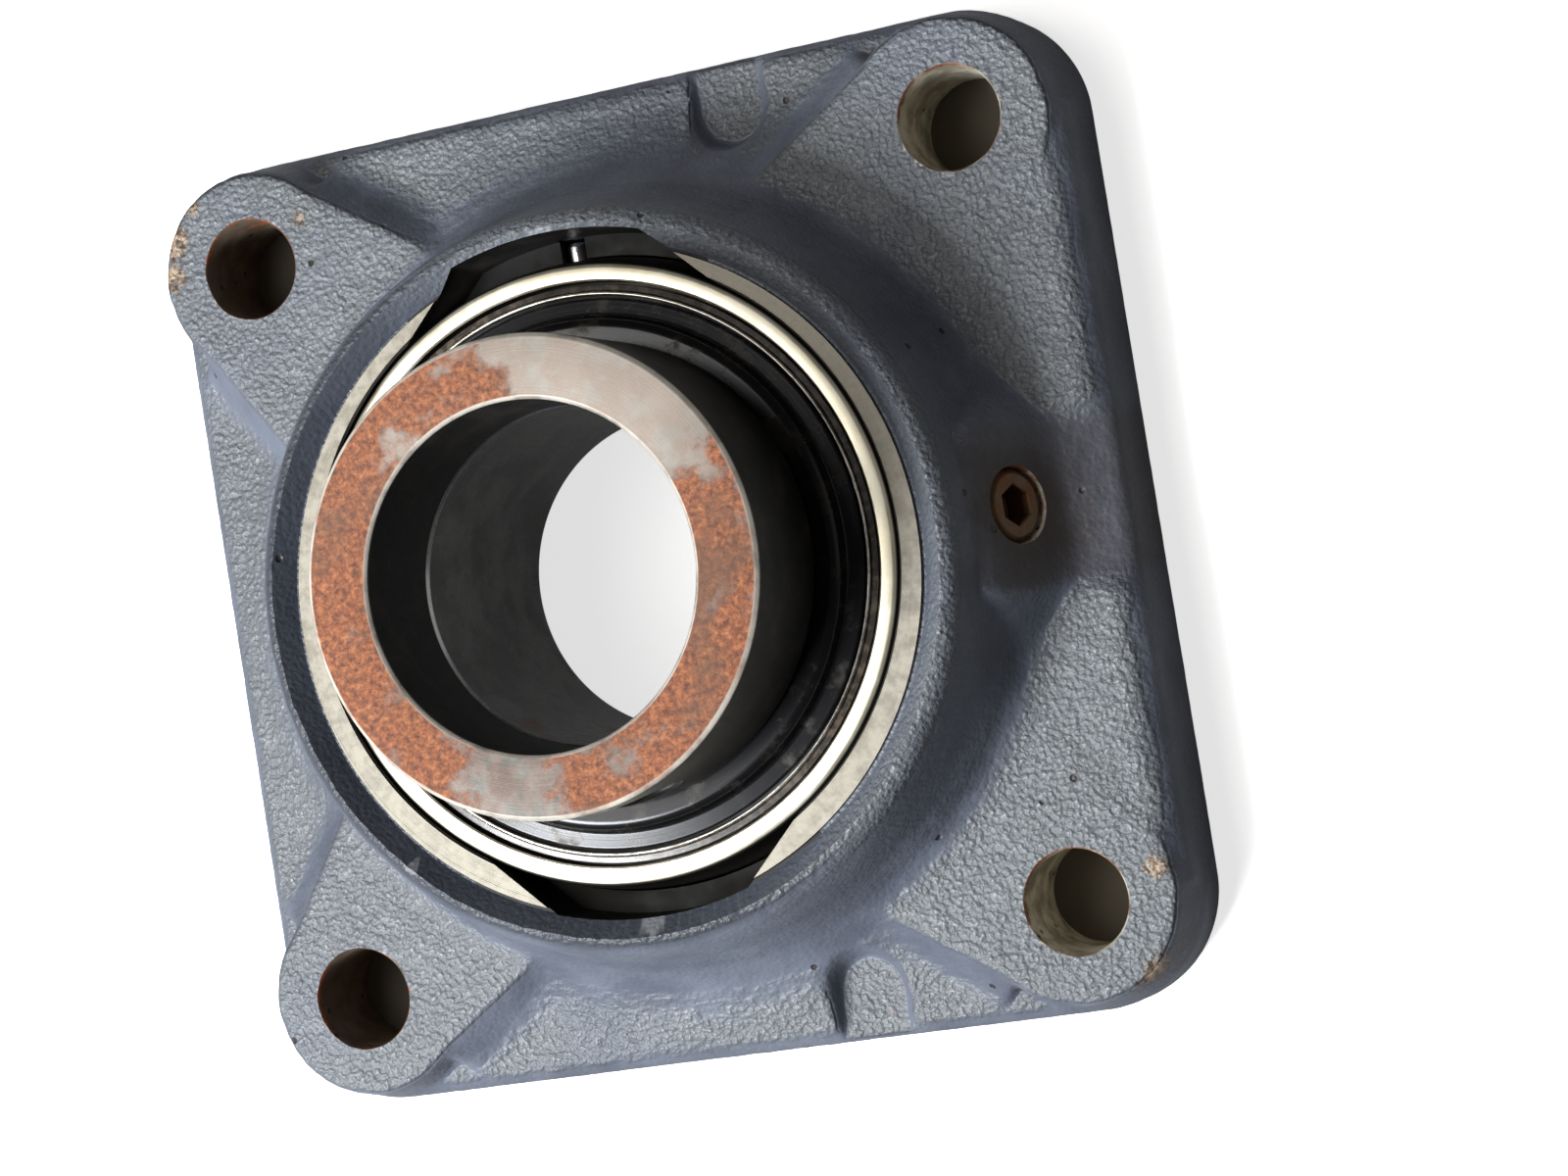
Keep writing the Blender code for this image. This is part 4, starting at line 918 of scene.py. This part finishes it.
def bore_steel():
    """Dark satin steel, bluish, with rust, most of it low in the bore, and a painted highlight round the
    mouth.
    """
    made, tree, shader, place, colour = ground_steel("satin_bore_steel", (0.15, 0.145, 0.140),
                                                     (0.24, 0.235, 0.230), 0.20, 0.32)
    parts = parts_of(tree, place)
    low = spread(tree, parts[1], -0.016, -0.0215)
    rust = effect(tree, "rust_bloom", {"Vector": place, "Scale": 95.0,
                                       "Cover": plus(tree, times(tree, low, 0.35), 0.16)})
    colour = tint(tree, times(tree, rust["Mask"], 0.8), colour, rust["Colour"])
    # Painted highlight: a light grey band round the chamfer at the front end of the bore.
    mouth = spread(tree, parts[2], (FRONT_END - 0.75) * MM, (FRONT_END - 0.5) * MM)
    colour = tint(tree, mouth, colour, (0.72, 0.73, 0.75))
    feed(shader, "Base Color", colour)
    return made


inner_ring.data.materials.append(bore_steel())
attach(inner_ring, "inner_body")
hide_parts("inner_ring")

# ---- Balls -------------------------------------------------------------------------------
# Polished half-inch balls. Each is made by one small tree of nodes from its radius and its
# place on the ball circle, and turns on its own.

BALL_COUNT = 9


def new_maker(name, inputs):
    """An empty geometry tree with named number inputs and one geometry output."""
    tree = bpy.data.node_groups.new(name, "GeometryNodeTree")
    for label, kind in inputs.items():
        tree.interface.new_socket(label, in_out="INPUT", socket_type=kind)
    tree.interface.new_socket("Geometry", in_out="OUTPUT", socket_type="NodeSocketGeometry")
    return tree, tree.nodes.new("NodeGroupInput").outputs, tree.nodes.new("NodeGroupOutput").inputs


def made_by(name, tree, values):
    """A plain mesh piece from a geometry tree and its named values."""
    piece = link(name, bpy.data.meshes.new(name))
    maker = piece.modifiers.new("maker", "NODES")
    maker.node_group = tree
    for item in tree.interface.items_tree:
        if item.item_type == "SOCKET" and item.in_out == "INPUT":
            maker[item.identifier] = values[item.name]
    return evaluated(piece)


def finished(tree, geometry, finish, out):
    """End a geometry tree: smooth, realised and in its finish."""
    smooth = put(tree, "GeometryNodeSetShadeSmooth", {"Geometry": geometry})
    real = put(tree, "GeometryNodeRealizeInstances", {"Geometry": smooth.outputs[0]})
    dressed = put(tree, "GeometryNodeSetMaterial", {"Geometry": real.outputs[0], "Material": finish})
    tree.links.new(dressed.outputs[0], out["Geometry"])


polished = ground_steel("polished_ball_steel", (0.70, 0.71, 0.73), (0.85, 0.86, 0.88), 0.04, 0.12)[0]
ball_tree, given, out = new_maker("ball_maker", {"Radius": VALUE, "Centre": VECTOR})
ball_shape = put(ball_tree, "GeometryNodeMeshUVSphere", {"Segments": 48, "Rings": 24,
                                                         "Radius": given["Radius"]})
ball_placed = put(ball_tree, "GeometryNodeTransform", {"Geometry": ball_shape.outputs["Mesh"],
                                                       "Translation": given["Centre"]})
finished(ball_tree, ball_placed.outputs[0], polished, out)
for number in range(1, BALL_COUNT + 1):
    centre = JOINTS["ball_%d_spin" % number]["pos_m"]
    ball = made_by("polished_ball_%d" % number, ball_tree, {"Radius": (BALL_R - 0.02) * MM, "Centre": centre})
    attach(ball, "ball_body_%d" % number)
    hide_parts("ball_%d" % number)

# ---- Cage and rivets ---------------------------------------------------------------------
# Two pressed steel ribbons, kept as modelled, closed by nine snap-headed rivets between the
# balls. The rivets repeat round the circle, so one tree of nodes sets them all.

RIVET_R = 0.9
RIVET_HEAD_R = 1.65
RIVET_HALF = 1.45


def pressed_steel():
    """Pressed cage sheet, satin, with a film of grease."""
    made, tree, shader, place, colour = ground_steel("pressed_cage_steel", (0.38, 0.36, 0.32),
                                                     (0.62, 0.60, 0.56), 0.25, 0.45)
    film = spread(tree, grainy(tree, place, 220.0, 4.0), 0.45, 0.65)
    feed(shader, "Base Color", tint(tree, times(tree, film, 0.5), colour, (0.16, 0.12, 0.06)))
    return made


cage_finish = pressed_steel()
rivet_tree, given, out = new_maker("rivet_ring", {"Count": "NodeSocketInt", "Circle": VALUE, "Height": VALUE,
                                                  "Shank": VALUE, "Head": VALUE, "Half length": VALUE})
spots = put(rivet_tree, "GeometryNodeMeshCircle", {"Vertices": given["Count"], "Radius": given["Circle"]})
shank = put(rivet_tree, "GeometryNodeMeshCylinder", {
    "Vertices": 24, "Radius": given["Shank"],
    "Depth": times(rivet_tree, given["Half length"], 2.0)})
head = put(rivet_tree, "GeometryNodeMeshUVSphere", {"Segments": 24, "Rings": 12, "Radius": given["Head"]})
flat_head = put(rivet_tree, "GeometryNodeTransform", {"Geometry": head.outputs["Mesh"],
                                                      "Scale": (1.0, 1.0, 0.4)})
ends = []
for side in (1.0, -1.0):
    lift = put(rivet_tree, "ShaderNodeCombineXYZ", {
        2: times(rivet_tree, given["Half length"], side)}).outputs[0]
    ends.append(put(rivet_tree, "GeometryNodeTransform", {"Geometry": flat_head.outputs[0],
                                                          "Translation": lift}).outputs[0])
rivet = put(rivet_tree, "GeometryNodeMeshBoolean", operation="UNION", solver="EXACT")
for part in [shank.outputs["Mesh"]] + ends:
    rivet_tree.links.new(part, rivet.inputs["Mesh 2"])
rivets_set = put(rivet_tree, "GeometryNodeInstanceOnPoints", {"Points": spots.outputs["Mesh"],
                                                              "Instance": rivet.outputs["Mesh"]})
raised = put(rivet_tree, "GeometryNodeTransform", {
    "Geometry": rivets_set.outputs[0],
    "Translation": put(rivet_tree, "ShaderNodeCombineXYZ", {2: given["Height"]}).outputs[0],
    "Rotation": (0.0, 0.0, math.pi / BALL_COUNT)})
finished(rivet_tree, raised.outputs[0], cage_finish, out)
rivets = made_by("cage_rivets", rivet_tree, {
    "Count": BALL_COUNT, "Circle": PITCH_R * MM, "Height": CENTRE_Z * MM, "Shank": RIVET_R * MM,
    "Head": RIVET_HEAD_R * MM, "Half length": RIVET_HALF * MM})
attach(rivets, "cage_body")
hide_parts(*["cage_rivet_%d" % number for number in range(1, BALL_COUNT + 1)])
for name in ("cage_front", "cage_rear"):
    frame["nodes"][name].data.materials.clear()
    frame["nodes"][name].data.materials.append(cage_finish)

# ---- Seals, shields and throwers ---------------------------------------------------------
# On each side a rubber lip seal, kept as modelled, then a pressed shield in the outer ring
# and a blacked thrower on the inner ring. The shield is dark brown below its rolled lip.

SHIELD_Z = 9.6
SHIELD_TOP = 10.68
SHIELD_OUTER = 38.32
KNEE_R = PITCH_R + 1.2
THROWER_INNER = NOSE_R + 0.3
THROWER_OUTER = 36.48


def seal_rubber():
    """Black nitrile rubber, matt with a faint bloom."""
    made, tree, shader, place = new_finish("nitrile_rubber", (0.0, 0.0, CENTRE_Z))
    bloom = grainy(tree, place, 300.0, 5.0)
    feed(shader, "Base Color", tint(tree, bloom, (0.010, 0.010, 0.010), (0.035, 0.034, 0.032)))
    feed(shader, "Roughness", spread(tree, bloom, 0.3, 0.7, 0.55, 0.8))
    relief(tree, shader, bloom, 0.3, 0.05)
    return made


def shield_sheet():
    """Pressed shield: bright on its rolled inner lip, dark brown below it, with dirt more towards the bottom.
    """
    made, tree, shader, place, colour = ground_steel("shield_sheet", (0.40, 0.38, 0.34), (0.82, 0.80, 0.74),
                                                     0.2, 0.4)
    parts = parts_of(tree, place)
    height = sums(tree, "ABSOLUTE", parts[2])
    # Below the rolled lip the shield is dark brown and not metallic; lower down it also takes brown crumbs of
    # dirt.
    deep = spread(tree, height, (SHIELD_TOP - 0.12) * MM, (SHIELD_TOP - 0.32) * MM)
    crumbs = spread(tree, grainy(tree, place, 700.0, 5.0), 0.45, 0.62)
    low = spread(tree, parts[1], -0.018, -0.034, 0.1, 0.75)
    dirt = sums(tree, "MAXIMUM", deep, times(tree, crumbs, low))
    soil = tint(tree, crumbs, (0.018, 0.013, 0.009), (0.075, 0.055, 0.038))
    feed(shader, "Base Color", tint(tree, dirt, colour, soil))
    feed(shader, "Metallic", besides(tree, dirt))
    return made


def blacked_steel(name, centre=(0.0, 0.0, CENTRE_Z)):
    """Black oxide on turned steel, rubbed brown-grey where dust and hands reach it."""
    made, tree, shader, place = new_finish(name, centre)
    lines = effect(tree, "lathe_lines", {"Vector": place, "Pitch": 0.00025})
    dust = spread(tree, grainy(tree, place, 190.0, 6.0, 0.65), 0.50, 0.72)
    colour = tint(tree, times(tree, dust, 0.5), (0.008, 0.008, 0.009), (0.060, 0.050, 0.038))
    edges = spread(tree, put(tree, "ShaderNodeNewGeometry").outputs["Pointiness"], 0.54, 0.62)
    colour = tint(tree, times(tree, edges, 0.5), colour, (0.22, 0.21, 0.19))
    feed(shader, "Base Color", colour)
    shader.inputs["Metallic"].default_value = 0.5
    feed(shader, "Roughness", spread(tree, dust, 0.0, 1.0, 0.24, 0.5))
    relief(tree, shader, lines["Height"], 0.3, 0.03)
    return made


rubber, shield_finish, thrower_finish = seal_rubber(), shield_sheet(), blacked_steel("blacked_thrower_steel")
shield_profile = [
    (SHIELD_OUTER, SHIELD_Z), (SHIELD_OUTER, SHIELD_Z + 0.45), (37.45, SHIELD_Z + 0.5),
    (37.25, SHIELD_TOP - 0.08), (37.05, SHIELD_TOP), (36.88, SHIELD_TOP - 0.1), (36.84, SHIELD_Z)]
thrower_profile = [
    (THROWER_INNER, THROWER_TOP), (KNEE_R - 0.9, THROWER_TOP), (KNEE_R, THROWER_TOP - 0.5),
    (KNEE_R + 0.5, SHIELD_Z + 0.75), (THROWER_OUTER, SHIELD_Z + 0.62), (THROWER_OUTER, SHIELD_Z),
    (KNEE_R - 0.5, SHIELD_Z), (KNEE_R - 1.0, THROWER_TOP - 0.7), (THROWER_INNER, THROWER_TOP - 0.7)]
for end, side in (("front", 1), ("rear", -1)):
    seal = frame["nodes"][end + "_seal"]
    seal.data.materials.clear()
    seal.data.materials.append(rubber)
    shield = turned(end + "_pressed_shield", [(r, side * z) for r, z in softened(shield_profile, 0.12)],
                    place=(0.0, 0.0, CENTRE_Z))
    thrower = turned(end + "_flinger", [(r, side * z) for r, z in softened(thrower_profile, 0.35)],
                     place=(0.0, 0.0, CENTRE_Z))
    for piece, finish, body, node, slot in (
            (shield, shield_finish, "outer_body", "_shield", "shield_steel"),
            (thrower, thrower_finish, "inner_body", "_thrower", "black_steel")):
        smooth(piece, 35)
        piece.data.materials.append(finish)
        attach(piece, body)
        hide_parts(end + node)

# ---- Locking collar ----------------------------------------------------------------------
# A turned steel collar over the ring's eccentric end. Its side is still blacked, its face
# has a film of orange rust with bare steel showing, painted lighter towards the top, and its
# edges are worn bright, with a painted highlight on their chamfers.

COLLAR_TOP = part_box("locking_collar")[1].z / MM
COLLAR_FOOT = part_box("locking_collar")[0].z / MM
COLLAR_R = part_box("locking_collar")[1].x / MM
COLLAR_BORE_R = BORE_R + 0.1
RECESS_R = 26.2
SCREW_Z = COLLAR_TOP - 10.0
SCREW_ANGLE = -75.0
DRIFT_ANGLE = 105.0
SCREW_R = 4.0


def radial(degrees):
    """Rotation that sends +Z outwards at an angle about the bore axis."""
    return Matrix.Rotation(math.radians(degrees), 4, "Z") @ Matrix.Rotation(math.pi / 2, 4, "Y")


collar = turned("eccentric_locking_collar", softened([
    (COLLAR_BORE_R, COLLAR_FOOT), (COLLAR_BORE_R, COLLAR_TOP - 0.45), (COLLAR_BORE_R + 0.45, COLLAR_TOP),
    (COLLAR_R - 0.55, COLLAR_TOP), (COLLAR_R, COLLAR_TOP - 0.55), (COLLAR_R, COLLAR_FOOT + 0.6),
    (COLLAR_R - 0.6, COLLAR_FOOT)], 0.12))
recess = turned("recess", [(0, COLLAR_FOOT + 4.1), (RECESS_R, COLLAR_FOOT + 4.1), (RECESS_R, COLLAR_FOOT - 2),
                           (0, COLLAR_FOOT - 2)], place=(CAM_OFFSET, 0, 0), closed=False)
screw_hole = turned("screw_hole", [
    (0, 33), (SCREW_R + 2.6, 33), (SCREW_R + 0.3, 30.3), (SCREW_R + 0.3, 18), (0, 18)],
    place=(0, 0, SCREW_Z), turn=radial(SCREW_ANGLE), segments=56, closed=False)
drift_hole = turned("drift_hole", [(0, 33), (5.4, 33), (3.0, 30.5), (3.0, 27.2), (0, 26.0)],
                    place=(0, 0, SCREW_Z), turn=radial(DRIFT_ANGLE), segments=48, closed=False)
machined(collar, [recess, screw_hole, drift_hole])
smooth(collar, 30)


def collar_steel():
    """Rusted face, blacked side and bore, bright edges: worn, with a painted highlight on the chamfers. The
    bare steel is painted lighter towards the top.
    """
    made, tree, shader, place = new_finish("rusted_collar_steel", (0.0, 0.0, COLLAR_TOP))
    parts = parts_of(tree, place)
    flat = put(tree, "ShaderNodeCombineXYZ", {0: parts[0], 1: parts[1]}).outputs[0]
    radius = span(tree, flat)
    face = times(tree, spread(tree, parts[2], -0.6 * MM, -0.15 * MM),
                 spread(tree, radius, (COLLAR_BORE_R + 0.1) * MM, (COLLAR_BORE_R + 0.4) * MM))
    bare = []
    for degrees, width, share in ((58.0, 0.72, 1.0), (-103.0, 0.80, 0.45)):
        angle = math.radians(degrees)
        towards = put(tree, "ShaderNodeVectorMath", {0: flat, 1: (math.cos(angle), math.sin(angle), 0.0)},
                      operation="DOT_PRODUCT").outputs["Value"]
        bare.append(spread(tree, sums(tree, "DIVIDE", towards, radius), width, 1.0, 0.0, share))
    worn = sums(tree, "MAXIMUM", *bare)
    cover = sums(tree, "SUBTRACT", 0.70, times(tree, worn, 0.40))
    rust = effect(tree, "rust_bloom", {"Vector": place, "Scale": 75.0, "Cover": cover})
    film = effect(tree, "rust_bloom", {"Vector": place, "Scale": 260.0, "Cover": 0.62})
    dull = spread(tree, grainy(tree, place, 62.0, 4.0, 0.6), 0.50, 0.66)
    lines = effect(tree, "lathe_lines", {"Vector": place, "Pitch": 0.00018})
    cloud = grainy(tree, place, 170.0, 6.0, 0.65)
    steel = tint(tree, spread(tree, cloud, 0.36, 0.66), (0.050, 0.044, 0.037), (0.135, 0.126, 0.112))
    steel = tint(tree, times(tree, lines["Tone"], 0.25), steel, (0.21, 0.195, 0.175))
    # Painted light: the bare steel is painted lighter towards the top of the face.
    steel = tint(tree, spread(tree, parts[1], -0.005, 0.022, 0.0, 0.55), steel, (0.33, 0.295, 0.25))
    steel = tint(tree, times(tree, film["Mask"], 0.16), steel, film["Colour"])
    brown = tint(tree, times(tree, dull, 0.6), rust["Colour"], (0.085, 0.045, 0.026))
    top = tint(tree, times(tree, rust["Mask"], 0.92), steel, brown)
    black = tint(tree, spread(tree, cloud, 0.45, 0.75), (0.007, 0.007, 0.007), (0.040, 0.033, 0.026))
    colour = tint(tree, face, black, top)
    # The edges of the face are painted bright all round: worn steel, and painted highlight on the chamfers.
    outer = spread(tree, sums(tree, "ABSOLUTE", sums(tree, "SUBTRACT", radius, (COLLAR_R - 0.3) * MM)),
                   0.42 * MM, 0.16 * MM)
    inner = spread(tree, sums(tree, "ABSOLUTE", sums(tree, "SUBTRACT", radius, (COLLAR_BORE_R + 0.2) * MM)),
                   0.38 * MM, 0.14 * MM)
    near = spread(tree, parts[2], -0.8 * MM, -0.4 * MM)
    edge = times(tree, sums(tree, "MAXIMUM", outer, inner), near)
    edge = times(tree, edge, spread(tree, cloud, 0.3, 0.6, 0.35, 1.0))
    colour = tint(tree, edge, colour, (0.50, 0.46, 0.40))
    feed(shader, "Base Color", colour)
    rusty = times(tree, rust["Mask"], face)
    feed(shader, "Metallic", times(tree, besides(tree, rusty), 0.35))
    satin = spread(tree, face, 0.0, 1.0, 0.46, 0.50)
    feed(shader, "Roughness", plus(tree, satin, times(tree, rusty, 0.28)))
    height = plus(tree, rust["Height"], times(tree, lines["Height"], 0.25))
    relief(tree, shader, height, 0.7, 0.10)
    return made


collar.data.materials.append(collar_steel())
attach(collar, "collar_body")
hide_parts("locking_collar")

# ---- Set screw ---------------------------------------------------------------------------
# A blacked cup point screw in the collar, with a hex socket and a rolled thread.

SCREW_HEAD = COLLAR_R - 0.6
SCREW_POINT = COLLAR_BORE_R + 0.7
THREAD_PITCH = 1.25
turn_count = int((SCREW_HEAD - SCREW_POINT - 2.2) / THREAD_PITCH)
thread = [(0.0, SCREW_HEAD), (SCREW_R - 0.7, SCREW_HEAD), (SCREW_R - 0.1, SCREW_HEAD - 0.6)]
for turn in range(turn_count):
    top = SCREW_HEAD - 0.6 - turn * THREAD_PITCH
    thread += [(SCREW_R - 0.65, top - THREAD_PITCH * 0.5), (SCREW_R - 0.05, top - THREAD_PITCH)]
thread += [(SCREW_R - 1.5, SCREW_POINT), (SCREW_R - 2.0, SCREW_POINT + 0.3), (0.0, SCREW_POINT + 0.5)]
screw = turned("cup_point_set_screw", thread, place=(0, 0, SCREW_Z), turn=radial(SCREW_ANGLE), segments=56,
               closed=False)
screw_mouth = radial(SCREW_ANGLE) @ Vector((0.0, 0.0, SCREW_HEAD)) + Vector((0.0, 0.0, SCREW_Z))
machined(screw, [hex_cutter("screw_socket", 4.0, SOCKET_DEPTH, screw_mouth, radial(SCREW_ANGLE))])
smooth(screw, 30)
screw.data.materials.append(blacked_steel("blacked_screw_steel", (0.0, 0.0, SCREW_Z)))
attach(screw, "screw_body")
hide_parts("collar_set_screw")

# ---- Floor and light ---------------------------------------------------------------------
# A pale floor under the bearing, which glows a little where it is seen straight on but not in
# the shade under the flange. A soft main light from the lower left, and weak fills.


def stage_floor():
    """Large plain floor just under the mounting face, with a dark brown painted shade under the flange."""
    mesh = bpy.data.meshes.new("floor")
    size = 3.0
    mesh.from_pydata([(-size, -size, -0.0001), (size, -size, -0.0001), (size, size, -0.0001),
                      (-size, size, -0.0001)], [], [(0, 1, 2, 3)])
    floor = link("floor", mesh)
    made = bpy.data.materials.new("pale_floor")
    made.use_nodes = True
    tree = made.node_tree
    shader = tree.nodes["Principled BSDF"]
    path = put(tree, "ShaderNodeLightPath").outputs
    mirrored = times(tree, path["Is Glossy Ray"], 0.12)
    seen = sums(tree, "MAXIMUM", path["Is Camera Ray"], mirrored)
    place = put(tree, "ShaderNodeTexCoord").outputs["Object"]
    away = span(tree, place)
    parts = parts_of(tree, place)
    side = sums(tree, "MAXIMUM", sums(tree, "ABSOLUTE", parts[0]), sums(tree, "ABSOLUTE", parts[1]))
    # Painted shade: under the flange, outside the bore, the floor is dark brown and does not glow.
    under = times(tree, spread(tree, away, 0.040, 0.044), spread(tree, side, 0.0605, 0.0598))
    seen = times(tree, seen, besides(tree, under))
    shade = tint(tree, under, (0.16, 0.16, 0.16), (0.085, 0.072, 0.055))
    feed(shader, "Base Color", tint(tree, seen, shade, (0.80, 0.80, 0.80)))
    feed(shader, "Emission Color", tint(tree, seen, (0.0, 0.0, 0.0), (1.0, 1.0, 1.0)))
    shader.inputs["Roughness"].default_value = 0.9
    shader.inputs["Emission Strength"].default_value = 0.7
    mesh.materials.append(made)


def soft_light(name, place, power, size, colour=(1.0, 1.0, 1.0)):
    """A square lamp that points at the bearing."""
    lamp = bpy.data.lights.new(name, "AREA")
    lamp.energy = power
    lamp.size = size
    lamp.color = colour
    holder = bpy.data.objects.new(name, lamp)
    bpy.context.scene.collection.objects.link(holder)
    holder.location = place
    aim = Vector((0.0, 0.0, 0.02)) - Vector(place)
    holder.rotation_euler = aim.to_track_quat("-Z", "Y").to_euler()


stage_floor()
soft_light("main_light", (-0.38, -0.33, 0.60), 12.6, 0.26, (0.94, 0.97, 1.0))
soft_light("top_light", (-0.26, 0.05, 0.66), 2.2, 0.32, (1.0, 0.98, 0.95))
soft_light("right_fill", (0.70, 0.10, 0.35), 0.25, 0.5, (1.0, 0.97, 0.93))
world = bpy.data.worlds.new("studio")
world.use_nodes = True
world.node_tree.nodes["Background"].inputs["Color"].default_value = (1.0, 0.96, 0.94, 1.0)
world.node_tree.nodes["Background"].inputs["Strength"].default_value = 0.08
bpy.context.scene.world = world
